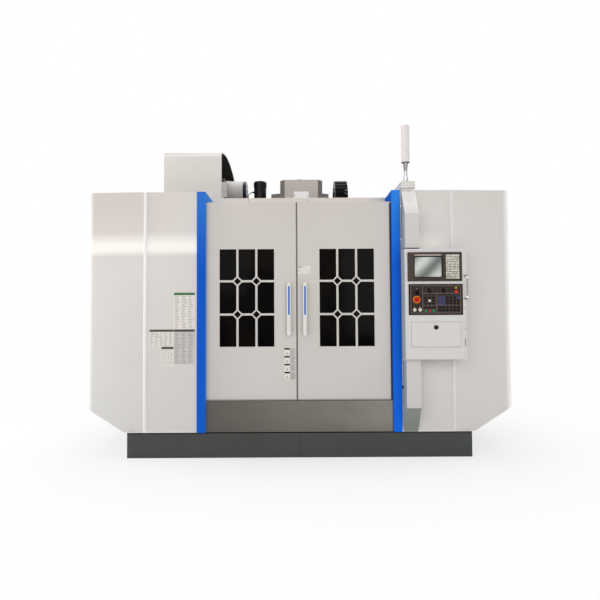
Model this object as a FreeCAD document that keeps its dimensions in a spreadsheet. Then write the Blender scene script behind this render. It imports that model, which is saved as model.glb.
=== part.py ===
import FreeCAD, Part
import math
import os
import re
import Sketcher

# A vertical machining center in millimetres: X to the right, Y to the back, Z up from the floor.
# Depths are written from the front plane of the two blue pillars; FRONT sets that plane in the frame.

doc = FreeCAD.newDocument("machining_center")
sheet = doc.addObject("Spreadsheet::Sheet", "dims")
probe = doc.addObject("App::FeaturePython", "probe")
probe.addProperty("App::PropertyFloat", "Value")

SIZES = {
    # whole machine
    "overall_width": 3338,
    "overall_depth": 2650,
    "pendant_reach": 200,
    "running_gap": 0.3,
    "skin": 3,
    # castings
    "spindle_x": 15,
    "spindle_y": 850,
    "bed_width": 1200,
    "bed_front": 330,
    "bed_bottom": 60,
    "bed_top": 520,
    "bed_way_pitch": 600,
    "bed_way_width": 90,
    "bed_way_height": 40,
    "foot_radius": 60,
    "foot_plate": 20,
    "foot_bolt_radius": 18,
    "column_width": 640,
    "column_top": 2330,
    "column_way_pitch": 340,
    "column_way_width": 60,
    "column_way_depth": 50,
    "column_foot": 90,
    "column_foot_thickness": 30,
    "column_clearance": 50,
    "way_margin": 20,
    "screw_foot_width": 120,
    "screw_foot_height": 60,
    "screw_foot_lap": 40,
    # travels
    "x_travel": 600,
    "y_travel": 300,
    "z_travel": 600,
    # saddle, table and screws
    "saddle_length": 840,
    "saddle_depth": 600,
    "saddle_thickness": 140,
    "saddle_skirt": 30,
    "saddle_skirt_width": 70,
    "saddle_way_pitch": 400,
    "saddle_way_width": 80,
    "saddle_way_height": 80,
    "table_width": 600,
    "table_end_clearance": 15,
    "table_thickness": 120,
    "table_skirt": 50,
    "slot_count": 5,
    "slot_pitch": 100,
    "slot_neck_width": 18,
    "slot_neck_height": 20,
    "slot_foot_width": 30,
    "slot_foot_height": 12,
    "screw_radius": 16,
    "screw_clearance": 0.6,
    "screw_drop": 50,
    "channel_width": 160,
    "channel_depth": 120,
    "channel_wall": 20,
    "y_nut_size": 100,
    "y_nut_length": 120,
    "y_nut_rise": 6,
    "x_nut_size": 70,
    "x_screw_rise": 58,
    "x_screw_bracket": 30,
    "x_bracket_width": 100,
    "x_bracket_gap": 5,
    "axis_motor_size": 150,
    "axis_motor_length": 200,
    "axis_motor_round": 12,
    "axis_cap_height": 30,
    "axis_cap_inset": 12,
    "z_motor_drop": 40,
    "x_motor_size": 110,
    # head
    "nose_clearance": 100,
    "nose_radius": 64,
    "nose_height": 20,
    "taper_mouth_radius": 22.2,
    "taper_depth": 65,
    "taper_slope": 0.1458,
    "drawbar_radius": 8.5,
    "drawbar_depth": 80,
    "drive_key": 16,
    "drive_key_height": 6,
    "spindle_radius": 55,
    "spindle_length": 340,
    "quill_radius": 110,
    "head_width": 300,
    "head_front": 720,
    "head_height": 320,
    "web_length": 240,
    "slide_front": 1380,
    "slide_width": 460,
    "slide_height": 600,
    "spindle_motor_size": 200,
    "spindle_motor_height": 330,
    "spindle_motor_round": 30,
    "cover_front": 640,
    "cover_front_width": 299,
    "cover_main_width": 382,
    "cover_main_shift": 12,
    "cover_flare_width": 520,
    "cover_chamfer": 42,
    "cover_back": 1370,
    "cover_upper_back": 1040,
    "cover_bottom_rise": 60,
    "cover_flare_rise": 589,
    "cover_top_rise": 710,
    "cover_foot_rise": 60,
    "cover_foot_height": 30,
    # tool changer and magazine
    "changer_x": -370,
    "changer_y": 1025,
    "arm_drop": 10,
    "arm_thickness": 36,
    "arm_width": 70,
    "arm_hub_radius": 60,
    "arm_nut_height": 12,
    "grip_outer_radius": 45,
    "grip_inner_radius": 32,
    "grip_mouth": 25.6,
    "shaft_radius": 30,
    "shaft_pin_radius": 20,
    "shaft_stroke": 140,
    "shaft_engagement": 190,
    "cam_box_left": -480,
    "cam_box_right": -262,
    "cam_box_front": 930,
    "cam_box_bottom": 1760,
    "cam_box_top": 2150,
    "cam_box_roof": 30,
    "cam_flange_drop": 50,
    "changer_motor_radius": 59.5,
    "changer_motor_height": 189,
    "motor_cap_height": 53,
    "motor_cap_lip": 4,
    "motor_cap_round": 16,
    "pot_count": 24,
    "pot_circle": 320,
    "pot_radius": 36,
    "pot_bore": 23,
    "pot_length": 110,
    "pot_base": 20,
    "pot_setback": 10,
    "pot_inset": 50,
    "lug_half_width": 15,
    "hinge_eye_radius": 8,
    "hinge_pin_radius": 4,
    "hinge_pin_length": 44,
    "clevis_inner": 11,
    "clevis_outer": 19,
    "clevis_lap": 4,
    "clevis_rise": 12,
    "disc_thickness": 15,
    "hub_radius": 60,
    "magazine_left": -1255,
    "magazine_right": -717,
    "magazine_clearance": 19,
    "magazine_back": 1803,
    "magazine_bottom": 1650,
    "magazine_headroom": 223.4,
    "magazine_crown": 72,
    "magazine_corner": 40,
    "carrier_thickness": 24,
    "carrier_bottom": 1850,
    "carrier_top": 2380,
    "carrier_arm_front": 1560,
    "carrier_arm_depth": 140,
    "carrier_arm_bottom": 1850,
    "carrier_arm_height": 200,
    "drive_motor_radius": 100,
    "drive_motor_length": 145,
    "drive_motor_cap": 48,
    "drive_motor_lip": 4,
    "drive_motor_round": 14,
    "drive_motor_y": 1000,
    "drive_motor_z": 2291,
    "chain_left": 337,
    "chain_width": 119,
    "chain_middle_y": 930,
    "chain_outer_radius": 225,
    "chain_thickness": 60,
    "chain_top": 2368,
    "chain_leg": 300,
    "bracket_plate": 8,
    "bracket_drop": 90,
    "bracket_web": 12,
    "bracket_web_drop": 60,
    "bracket_foot_drop": 100,
    "bracket_foot_rise": 40,
    # enclosure
    "wing_top": 2050,
    "wing_bottom": 194,
    "wing_setback": 12,
    "wing_fold_x": 1187,
    "wing_recess": 53,
    "wing_corner": 55,
    "wing_cut_in": 315,
    "wing_cut_rise": 185,
    "wing_bevel": 0.29,
    "wing_lip": 40,
    "left_notch_height": 1640,
    "pillar_inner": 720,
    "pillar_width": 66,
    "pillar_depth": 36,
    "pillar_arm_length": 300,
    "tank_half_width": 1323,
    "tank_front": 20,
    "tank_height": 186,
    "tank_shallow": 300,
    "tank_deep": 1400,
    "tank_inner": 630,
    "tank_lid_rise": 8,
    "tank_lid_setback": 60,
    "apron_front": 20,
    "apron_top": 430,
    "apron_lip": 70,
    "apron_drop": 40,
    # doors
    "door_front": 40,
    "door_thickness": 40,
    "door_bottom": 435,
    "door_top": 1974,
    "door_width": 750,
    "door_seam_x": -15,
    "door_seam": 2,
    "door_travel": 600,
    "pocket_clearance": 50,
    "window_width": 425,
    "window_height": 759,
    "window_bottom": 846,
    "window_offset": 389,
    "window_lap": 15,
    "glass_thickness": 5,
    "grid_bar": 17,
    "diamond_outer": 44,
    "diamond_inner": 28,
    "handle_offset": 62,
    "handle_width": 31,
    "handle_depth": 46,
    "handle_bottom": 928,
    "handle_length": 415,
    "handle_round": 14,
    "handle_foot": 45,
    "handle_foot_depth": 20,
    "handle_foot_sink": 3,
    "handle_foot_inset": 5,
    "header_gap": 12,
    "header_bottom": 1895,
    "header_height": 80,
    "header_depth": 68,
    "header_back": 300,
    "header_deck": 10,
    "header_upstand": 2066,
    "rail_rise": 30,
    "rail_height": 20,
    "rail_depth": 8,
    "carriage_length": 80,
    "carriage_margin": 100,
    "carriage_lap": 10,
    "guard_gap": 12,
    "guard_inner": 725,
    "guard_web": 35,
    # electrical cabinet
    "cabinet_width": 1200,
    "cabinet_bottom": 350,
    "cabinet_height": 1800,
    "cabinet_depth": 265,
    "cabinet_door_depth": 35,
    "cabinet_wall": 3,
    "cabinet_lip": 25,
    "cabinet_latch": 10,
    "latch_width": 25,
    "latch_inset": 45,
    "latch_height": 120,
    "hinge_radius": 8,
    "hinge_length": 60,
    "hinge_strap": 40,
    "hinge_inset": 300,
    # pendant
    "post_left": 800,
    "post_right": 907,
    "post_front": 110,
    "post_low_corner": 392,
    "post_high_corner": 1862,
    "post_top": 2050,
    "pendant_left": 786,
    "pendant_right": 1214,
    "pendant_bevel": 43,
    "pendant_bevel_depth": 50,
    "pendant_bottom": 756,
    "pendant_top": 1576,
    "pendant_front": 155,
    "pendant_back": 30,
    "pendant_pivot_x": 842,
    "pendant_pivot_y": 70,
    "pivot_radius": 20,
    "pivot_length": 20,
    "display_left": 807,
    "display_bottom": 1334,
    "display_width": 400,
    "display_height": 215,
    "display_depth": 12,
    "bezel_round": 4,
    "screen_left": 50,
    "screen_bottom": 31,
    "screen_width": 199,
    "screen_height": 148,
    "screen_recess": 5,
    "panel_left": 812,
    "panel_bottom": 1084,
    "panel_width": 400,
    "panel_height": 229,
    "panel_depth": 5,
    "tray_left": 829,
    "tray_bottom": 847,
    "tray_width": 365,
    "tray_height": 184,
    "tray_depth": 90,
    "tray_door_thickness": 8,
    "tray_lock_radius": 15,
    "tray_lock_height": 8,
    "tray_hinge_radius": 3,
    "tray_hinge_drop": 3.3,
    "tray_hinge_length": 50,
    "tray_plate_rise": 2,
    "tray_hinge_gap": 1,
    "tray_lock_place": 0.79,
    "stop_x": 870,
    "stop_z": 1198,
    "stop_ring_radius": 27,
    "stop_ring_height": 3,
    "stop_head_radius": 20,
    "stop_stem_radius": 10,
    "stop_stroke": 6,
    "stop_height": 34,
    "control_socket": 30,
    "control_tail": 20,
    "button_left": 853,
    "button_pitch": 40,
    "button_z": 1122,
    "button_radius": 12.5,
    "button_height": 12,
    "button_travel": 4,
    "button_stem": 8,
    "knob_left": 969,
    "knob_pitch": 105,
    "knob_z": 1269,
    "knob_radius": 17,
    "knob_height": 22,
    "knob_skirt": 5,
    "knob_skirt_height": 6,
    "key_x": 873,
    "key_z": 1245,
    "key_radius": 13,
    "key_height": 12,
    "grip_bar_bottom": 1198,
    "grip_bar_length": 182,
    "grip_bar_reach": 8,
    "grip_bar_radius": 7,
    "grip_bar_inset": 12,
    "grip_arm": 12,
    # signal lamp
    "lamp_x": 839,
    "lamp_y": 30,
    "lamp_box_top": 2108,
    "lamp_collar_top": 2160,
    "lamp_neck_bottom": 2209,
    "lamp_tube_bottom": 2277,
    "lamp_top": 2571,
    "lamp_radius": 32.5,
    "lamp_collar_radius": 19,
    "lamp_rod_radius": 14,
    "lamp_neck_radius": 12,
    "lamp_neck_flare": 7,
    "lamp_round": 10,
    "lamp_box_left": 785,
    "lamp_box_width": 108,
    "lamp_box_bottom": 2055,
    "lamp_box_front": 60,
    "lamp_box_depth": 180,
    "lamp_foot_depth": 45,
    # changer motor cable
    "cable_radius": 4,
}

PLACES = {
    # castings and travels, stacked from the bed to the spindle nose
    "front": "pendant_reach - overall_depth / 2",
    "half": "overall_width / 2",
    "bed_left": "spindle_x - bed_width / 2",
    "bed_right": "spindle_x + bed_width / 2",
    "column_front": "spindle_y + saddle_depth / 2 + y_travel + column_clearance",
    "way_end": "column_front - 2 * channel_wall",
    "table_length": "2 * (x_travel + x_nut_size / 2 + x_screw_bracket + table_end_clearance)",
    "table_left": "spindle_x - table_length / 2",
    "table_right": "spindle_x + table_length / 2",
    "column_left": "spindle_x - column_width / 2",
    "column_right": "spindle_x + column_width / 2",
    "column_back": "overall_depth - pendant_reach - cabinet_door_depth - cabinet_depth",
    "bed_way_top": "bed_top + bed_way_height",
    "saddle_bottom": "bed_way_top + running_gap",
    "saddle_top": "saddle_bottom + saddle_thickness",
    "table_bottom": "saddle_top + saddle_way_height + running_gap",
    "table_top": "table_bottom + table_thickness",
    "nose": "table_top + nose_clearance + z_travel",
    "head_bottom": "nose + 2 * nose_height",
    "head_top": "head_bottom + head_height",
    "slide_top": "head_bottom + slide_height",
    "slide_back": "column_front - running_gap",
    "way_front": "column_front - column_way_depth",
    "y_screw_z": "bed_top - screw_drop",
    "x_screw_z": "saddle_top + x_screw_rise",
    "z_screw_y": "column_front - column_way_depth / 2 - 2",
    "z_bracket_bottom": "slide_top + way_margin",
    "z_foot_top": "head_bottom - z_travel - way_margin",
    "screw_bore": "screw_radius + screw_clearance",
    # tool changer and magazine, set by the spindle and the changer shaft
    "arm_top": "nose - arm_drop",
    "arm_bottom": "arm_top - arm_thickness",
    "shaft_top": "cam_box_bottom + shaft_stroke + shaft_engagement",
    "pot_x": "2 * changer_x - spindle_x",
    "disc_y": "2 * changer_y - spindle_y",
    "disc_z": "nose + pot_length + pot_setback + pot_circle",
    "pot_pivot_z": "disc_z - pot_circle",
    "disc_right": "pot_x - pot_setback / 2",
    "disc_radius": "pot_circle - pot_inset",
    "pot_back": "pot_x - pot_setback",
    "pot_front": "pot_back - pot_length",
    "magazine_front": "disc_y - pot_circle - pot_radius - magazine_clearance",
    "magazine_shoulder": "disc_z + pot_circle + pot_radius + magazine_headroom",
    "changer_motor_top": "cam_box_top + changer_motor_height",
    "changer_cap_top": "changer_motor_top + motor_cap_height",
    "carrier_left": "magazine_right",
    "carrier_right": "carrier_left + carrier_thickness",
    "drive_motor_end": "carrier_right + drive_motor_length",
    "drive_cap_end": "drive_motor_end + drive_motor_cap",
    "chain_crown_z": "chain_top - chain_outer_radius",
    "chain_end": "chain_crown_z - chain_leg",
    "chain_front": "chain_middle_y - chain_outer_radius",
    "chain_rear": "chain_middle_y + chain_outer_radius",
    "chain_right": "chain_left + chain_width",
    "cover_side": "spindle_x + cover_flare_width / 2",
    # enclosure
    "pillar_outer": "pillar_inner + pillar_width",
    "wing_corner_x": "half - wing_corner",
    "wing_corner_y": "wing_setback + wing_recess",
    "door_back": "door_front + door_thickness",
    "pocket_outer": "door_width + door_travel + pocket_clearance",
    "beam_front": "door_back + header_gap",
    "beam_back": "beam_front + header_depth",
    "beam_top": "header_bottom + header_height",
    "rail_bottom": "header_bottom + rail_rise",
    "guard_front": "door_back + guard_gap",
    "pillar_arm_bottom": "beam_top + header_deck",
    # pendant
    "face_y": "-pendant_front",
    "stop_y": "face_y - panel_depth",
    "tray_hinge_y": "face_y - tray_hinge_drop",
    "tray_hinge_z": "tray_bottom - 0.5",
    "cabinet_back": "column_back + cabinet_depth",
    "cabinet_left": "spindle_x - cabinet_width / 2",
    "cabinet_right": "spindle_x + cabinet_width / 2",
    "cabinet_top": "cabinet_bottom + cabinet_height",
    "cabinet_hinge_x": "cabinet_left - hinge_radius - 2",
    "cabinet_hinge_y": "cabinet_back + cabinet_door_depth - cabinet_latch",
}

for row, (alias, size) in enumerate(SIZES.items(), 1):
    sheet.set(f"A{row}", alias)
    sheet.set(f"B{row}", str(size))
    sheet.setAlias(f"B{row}", alias)
doc.recompute()

WORD = re.compile(r"[a-z][a-z0-9_]*")
NODES = []


# ---------------------------------------------------------------- helpers

def cell(formula):
    """A formula with each place worked out and each size written as its cell of the sheet."""
    def written(match):
        word = match.group(0)
        if word in PLACES:
            return "(" + cell(PLACES[word]) + ")"
        return "dims." + word if word in SIZES else word
    return WORD.sub(written, str(formula))


def number(formula):
    """The present value of a formula."""
    probe.setExpression("Value", cell(formula))
    probe.recompute()
    return probe.Value


def place(piece, x, y, z):
    """Bind the position of a piece, with its depth written from the pillars' front plane."""
    piece.setExpression("Placement.Base.x", cell(x))
    piece.setExpression("Placement.Base.y", cell(f"front + {y}"))
    piece.setExpression("Placement.Base.z", cell(z))
    return piece


def block(x0, x1, y0, y1, z0, z1):
    """A rectangular block between two corners."""
    box = doc.addObject("Part::Box", "block")
    for side, low, high in (("Length", x0, x1), ("Width", y0, y1), ("Height", z0, z1)):
        box.setExpression(side, cell(f"({high}) - ({low})"))
    return place(box, x0, y0, z0)


def centred(x, y, z, width, depth, height):
    """A block centred on a point."""
    return block(f"{x} - ({width}) / 2", f"{x} + ({width}) / 2", f"{y} - ({depth}) / 2",
                 f"{y} + ({depth}) / 2", f"{z} - ({height}) / 2", f"{z} + ({height}) / 2")


AXES = {
    "x": FreeCAD.Rotation(FreeCAD.Vector(0, 1, 0), 90),
    "y": FreeCAD.Rotation(FreeCAD.Vector(1, 0, 0), -90),
    "z": FreeCAD.Rotation(),
}


def rod(axis, start, end, first, second, radius):
    """A round bar along an axis; first and second are its two other coordinates in XYZ order."""
    bar = doc.addObject("Part::Cylinder", "rod")
    bar.Placement.Rotation = AXES[axis]
    bar.setExpression("Radius", cell(radius))
    bar.setExpression("Height", cell(f"({end}) - ({start})"))
    corner = {"x": (start, first, second), "y": (first, start, second), "z": (first, second, start)}
    return place(bar, *corner[axis])


def cone(start, end, x, y, start_radius, end_radius):
    """A round taper along Z."""
    taper = doc.addObject("Part::Cone", "cone")
    taper.setExpression("Radius1", cell(start_radius))
    taper.setExpression("Radius2", cell(end_radius))
    taper.setExpression("Height", cell(f"({end}) - ({start})"))
    return place(taper, x, y, start)


PLANES = {"XY": "XY_Plane", "XZ": "XZ_Plane", "YZ": "YZ_Plane"}


def outline(body, plane, points, offset):
    """A closed sketch of straight sides on one of the body's own planes, each corner bound to the sheet."""
    sketch = body.newObject("Sketcher::SketchObject", "outline")
    base = next(item for item in body.Origin.OriginFeatures if item.Role == PLANES[plane])
    sketch.AttachmentSupport = (base, [""])
    sketch.MapMode = "FlatFace"
    sketch.setExpression("AttachmentOffset.Base.z", cell(offset))
    corners = [FreeCAD.Vector(number(across), number(up), 0) for across, up in points]
    for start, end in zip(corners, corners[1:] + corners[:1]):
        sketch.addGeometry(Part.LineSegment(start, end))
    for side in range(len(points)):
        sketch.addConstraint(Sketcher.Constraint("Coincident", side, 2, (side + 1) % len(points), 1))
    for side, (corner, formulas) in enumerate(zip(corners, points)):
        for kind, value, formula in zip(("DistanceX", "DistanceY"), corner, formulas):
            index = sketch.addConstraint(Sketcher.Constraint(kind, -1, 1, side, 1, value))
            sketch.setExpression(f"Constraints[{index}]", cell(formula))
    return sketch


def prism(plane, points, start, end):
    """A body padded from a closed outline: XY outlines rise in Z, XZ go back in Y, YZ go right in X."""
    body = doc.addObject("PartDesign::Body", "prism")
    if plane == "XY":
        points = [(across, f"front + {up}") for across, up in points]
        offset = start
    elif plane == "XZ":
        offset = f"-(front + {start})"
    else:
        points = [(f"front + {across}", up) for across, up in points]
        offset = start
    sketch = outline(body, plane, points, offset)
    pad = body.newObject("PartDesign::Pad", "pad")
    pad.Profile = sketch
    pad.setExpression("Length", cell(f"({end}) - ({start})"))
    pad.Reversed = plane == "XZ"
    return body


def joined(*pieces):
    """One piece made of several that touch or overlap."""
    whole = doc.addObject("Part::MultiFuse", "joined")
    whole.Shapes = list(pieces)
    whole.Refine = True
    return whole


def less(base, *tools):
    """A piece with others cut out of it."""
    rest = doc.addObject("Part::Cut", "less")
    rest.Base = base
    rest.Tool = tools[0] if len(tools) == 1 else joined(*tools)
    rest.Refine = True
    return rest


def softened(piece, radius, pick):
    """A piece with the edges that pick accepts rounded to one radius."""
    doc.recompute()
    size = number(radius)
    soft = doc.addObject("Part::Fillet", "softened")
    soft.Base = piece
    soft.Edges = [(place_in_list, size, size) for place_in_list, edge
                  in enumerate(piece.Shape.Edges, 1) if pick(edge)]
    return soft


def along(axis):
    """A test for straight edges along one axis."""
    direction = FreeCAD.Vector(*[float(axis == name) for name in "xyz"])

    def test(edge):
        if edge.Curve.TypeId != "Part::GeomLine":
            return False
        return abs(abs(edge.Curve.Direction.dot(direction)) - 1) < 1e-6
    return test


def level(axis, place_on_axis):
    """A test for edges that lie wholly in one plane across an axis."""
    low, high = {"x": ("XMin", "XMax"), "z": ("ZMin", "ZMax")}[axis]

    def test(edge):
        box = edge.BoundBox
        return all(abs(getattr(box, side) - place_on_axis) < 1e-3 for side in (low, high))
    return test


def node(name, piece):
    """Name a finished sub-part."""
    piece.Label = name
    NODES.append(piece)
    return piece


# ---------------------------------------------------------------- castings

def levelling_feet():
    """Six round levelling pads with their bolts under the bed."""
    feet = []
    inset = "2 * foot_radius"
    for x in (f"bed_left + {inset}", f"bed_right - {inset}"):
        for y in (f"bed_front + {inset}", "(bed_front + column_back) / 2", f"column_back - {inset}"):
            feet.append(rod("z", "0", "foot_plate", x, y, "foot_radius"))
            feet.append(rod("z", "foot_plate", "bed_bottom", x, y, "foot_bolt_radius"))
    node("levelling_feet", joined(*feet))


def machine_bed():
    """Cast bed with two box ways along Y and a channel for the Y ball screw."""
    base = block("bed_left", "bed_right", "bed_front", "column_back", "bed_bottom", "bed_top")
    ways = [block(f"spindle_x {side} bed_way_pitch / 2 - bed_way_width / 2",
                  f"spindle_x {side} bed_way_pitch / 2 + bed_way_width / 2",
                  "bed_front", "way_end", "bed_top", "bed_way_top") for side in "-+"]
    channel = block("spindle_x - channel_width / 2", "spindle_x + channel_width / 2",
                    "bed_front + channel_wall", "way_end",
                    "bed_top - channel_depth", "bed_top + bed_way_height")
    bore = rod("y", "bed_front - 1", "column_front - channel_wall", "spindle_x", "y_screw_z", "screw_bore")
    node("machine_bed", less(joined(base, *ways), channel, bore))


def column():
    """Cast column with two box ways down its front and brackets for the Z ball screw."""
    post = block("column_left", "column_right", "column_front", "column_back", "bed_top", "column_top")
    ways = [block(f"spindle_x {side} column_way_pitch / 2 - column_way_width / 2",
                  f"spindle_x {side} column_way_pitch / 2 + column_way_width / 2",
                  "way_front", "column_front", "z_foot_top - screw_foot_lap", "column_top - way_margin")
            for side in "-+"]
    top = block("spindle_x - axis_motor_size / 2", "spindle_x + axis_motor_size / 2",
                "z_screw_y - axis_motor_size / 2", "column_front", "z_bracket_bottom", "column_top")
    foot = block("spindle_x - screw_foot_width / 2", "spindle_x + screw_foot_width / 2",
                 "way_front - way_margin / 2", "column_front", "z_foot_top - screw_foot_height", "z_foot_top")
    flare = prism("YZ", [("column_front", "bed_top"), ("column_front", "bed_top + column_foot"),
                         ("column_front - 2", "bed_top + column_foot"),
                         ("way_end + 2", "bed_top + column_foot_thickness"), ("way_end + 2", "bed_top")],
                  "column_left", "column_right")
    bore = rod("z", "z_foot_top - screw_foot_lap", "column_top + 1", "spindle_x", "z_screw_y", "screw_bore")
    node("column", less(joined(post, *ways, top, foot, flare), bore))


def axis_motors():
    """Servo motors for the Y and Z screws, each with a square flange and a round rear cap."""
    size = "axis_motor_size"
    cap_radius = "axis_motor_size / 2 - axis_cap_inset"
    rear = "bed_front - axis_motor_length"
    body = centred("spindle_x", "bed_front - axis_motor_length / 2", "y_screw_z", size,
                   "axis_motor_length", size)
    cap = rod("y", f"{rear} - axis_cap_height", rear, "spindle_x", "y_screw_z", cap_radius)
    node("y_axis_motor", joined(softened(body, "axis_motor_round", along("y")), cap))
    crown = "column_top + axis_motor_length - z_motor_drop"
    tower = block("spindle_x - axis_motor_size / 2", "spindle_x + axis_motor_size / 2",
                  "z_screw_y - axis_motor_size / 2", "z_screw_y + axis_motor_size / 2", "column_top", crown)
    lid = rod("z", crown, f"{crown} + axis_cap_height", "spindle_x", "z_screw_y", cap_radius)
    node("z_axis_motor", joined(softened(tower, "axis_motor_round", along("z")), lid))


def ball_screws():
    """Three ball screws, each turning in its bores and nuts with a small clearance."""
    node("y_ballscrew", rod("y", "bed_front + running_gap", "column_front - channel_wall - running_gap",
                            "spindle_x", "y_screw_z", "screw_radius"))
    node("z_ballscrew", rod("z", "z_foot_top - screw_foot_lap + running_gap", "column_top - running_gap",
                            "spindle_x", "z_screw_y", "screw_radius"))
    node("x_ballscrew", rod("x", "table_left + running_gap", "table_right", "spindle_y", "x_screw_z",
                            "screw_radius"))


# ---------------------------------------------------------------- saddle and table

def saddle():
    """Saddle that rides the bed ways and carries two box ways along X."""
    left = "spindle_x - saddle_length / 2"
    right = "spindle_x + saddle_length / 2"
    near = "spindle_y - saddle_depth / 2"
    far = "spindle_y + saddle_depth / 2"
    body = block(left, right, near, far, "saddle_bottom", "saddle_top")
    lip = "bed_way_pitch / 2 + bed_way_width / 2 + running_gap"
    skirts = [block(f"spindle_x - ({lip}) - saddle_skirt_width", f"spindle_x - ({lip})", near, far,
                    "saddle_bottom - saddle_skirt", "saddle_bottom"),
              block(f"spindle_x + ({lip})", f"spindle_x + ({lip}) + saddle_skirt_width", near, far,
                    "saddle_bottom - saddle_skirt", "saddle_bottom")]
    ways = [block(left, right, f"spindle_y {side} saddle_way_pitch / 2 - saddle_way_width / 2",
                  f"spindle_y {side} saddle_way_pitch / 2 + saddle_way_width / 2",
                  "saddle_top", "saddle_top + saddle_way_height") for side in "-+"]
    y_nut = block("spindle_x - y_nut_size / 2", "spindle_x + y_nut_size / 2",
                  "spindle_y - y_nut_length / 2", "spindle_y + y_nut_length / 2",
                  "y_screw_z - y_nut_size / 2 + y_nut_rise", "saddle_bottom")
    x_nut = block("spindle_x - x_nut_size / 2", "spindle_x + x_nut_size / 2",
                  "spindle_y - x_nut_size / 2", "spindle_y + x_nut_size / 2",
                  "saddle_top", "saddle_top + saddle_way_height - 1")
    y_bore = rod("y", "spindle_y - y_nut_length", "spindle_y + y_nut_length", "spindle_x", "y_screw_z",
                 "screw_bore")
    x_bore = rod("x", "spindle_x - x_nut_size", "spindle_x + x_nut_size", "spindle_y", "x_screw_z",
                 "screw_bore")
    node("saddle", less(joined(body, *skirts, *ways, y_nut, x_nut), y_bore, x_bore))


def work_table():
    """Work table with T-slots along X, guide skirts and end brackets for its ball screw."""
    left = "table_left"
    right = "table_right"
    near = "spindle_y - table_width / 2"
    far = "spindle_y + table_width / 2"
    top = block(left, right, near, far, "table_bottom", "table_top")
    edge = "saddle_way_pitch / 2 + saddle_way_width / 2 + running_gap"
    skirts = [block(left, right, low, high, "table_bottom - table_skirt", "table_bottom")
              for low, high in ((near, f"spindle_y - ({edge})"), (f"spindle_y + ({edge})", far))]
    brackets = [block(start, end, "spindle_y - x_bracket_width / 2", "spindle_y + x_bracket_width / 2",
                      "saddle_top + x_bracket_gap", "table_bottom")
                for start, end in ((left, f"{left} + x_screw_bracket"),
                                   (f"{right} - x_screw_bracket", right))]
    bore = rod("x", f"{left} - 1", f"{right} + 1", "spindle_y", "x_screw_z", "screw_bore")
    slots = []
    neck_bottom = "table_top - slot_neck_height"
    for index in range(SIZES["slot_count"]):
        middle = f"spindle_y + ({index} - (slot_count - 1) / 2) * slot_pitch"
        slots.append(block(f"{left} - 1", f"{right} + 1", f"{middle} - slot_neck_width / 2",
                           f"{middle} + slot_neck_width / 2", neck_bottom, "table_top + 1"))
        slots.append(block(f"{left} - 1", f"{right} + 1", f"{middle} - slot_foot_width / 2",
                           f"{middle} + slot_foot_width / 2", f"{neck_bottom} - slot_foot_height",
                           neck_bottom))
    node("work_table", less(joined(top, *skirts, *brackets), bore, *slots))
    end = f"{left} - axis_motor_length"
    motor = block(end, left, "spindle_y - x_motor_size / 2", "spindle_y + x_motor_size / 2",
                  "x_screw_z - x_motor_size / 2", "x_screw_z + x_motor_size / 2")
    cap = rod("x", f"{end} - axis_cap_height", end, "spindle_y", "x_screw_z",
              "x_motor_size / 2 - axis_cap_inset")
    node("x_axis_motor", joined(softened(motor, "axis_motor_round", along("x")), cap))


# ---------------------------------------------------------------- head

def headstock():
    """Headstock with its slide on the column ways, the spindle bore and the Z nut."""
    arm = block("spindle_x - head_width / 2", "spindle_x + head_width / 2", "head_front", "slide_front",
                "head_bottom", "head_top")
    web = prism("YZ", [("slide_front", "head_top"), ("slide_front", "nose + cover_flare_rise - 5 * skin"),
                       ("slide_front - web_length", "head_top")],
                "spindle_x - head_width / 4", "spindle_x + head_width / 4")
    slide = block("spindle_x - slide_width / 2", "spindle_x + slide_width / 2", "slide_front", "slide_back",
                  "head_bottom", "slide_top")
    quill = rod("z", "nose + nose_height", "head_bottom", "spindle_x", "spindle_y", "quill_radius")
    clear = "column_way_width / 2 + running_gap"
    grooves = [block(f"spindle_x {side} column_way_pitch / 2 - ({clear})",
                     f"spindle_x {side} column_way_pitch / 2 + ({clear})",
                     "way_front - running_gap", "slide_back + 1", "head_bottom - 1", "slide_top + 1")
               for side in "-+"]
    bore = rod("z", "nose", "head_top + 1", "spindle_x", "spindle_y", "spindle_radius + screw_clearance")
    screw = rod("z", "head_bottom - 1", "slide_top + 1", "spindle_x", "z_screw_y", "screw_bore")
    node("headstock", less(joined(arm, web, slide, quill), *grooves, bore, screw))


def spindle():
    """Spindle with a nose flange and a steep taper socket."""
    nose = rod("z", "nose", "nose + nose_height - running_gap", "spindle_x", "spindle_y", "nose_radius")
    shaft = rod("z", "nose", "nose + spindle_length", "spindle_x", "spindle_y", "spindle_radius")
    taper = cone("nose", "nose + taper_depth", "spindle_x", "spindle_y", "taper_mouth_radius",
                 "taper_mouth_radius - taper_depth * taper_slope")
    draw = rod("z", "nose + taper_depth", "nose + taper_depth + drawbar_depth", "spindle_x", "spindle_y",
               "drawbar_radius")
    keys = [centred(f"spindle_x {side} (nose_radius - 1.25 * drive_key)", "spindle_y",
                    "nose - drive_key_height / 2", "drive_key", "drive_key", "drive_key_height")
            for side in "-+"]
    node("spindle", less(joined(nose, shaft, *keys), taper, draw))


def spindle_motor():
    """Spindle motor that stands on the headstock over the spindle."""
    body = centred("spindle_x", "spindle_y", "head_top + spindle_motor_height / 2",
                   "spindle_motor_size", "spindle_motor_size", "spindle_motor_height")
    node("spindle_motor", softened(body, "spindle_motor_round", along("z")))


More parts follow.
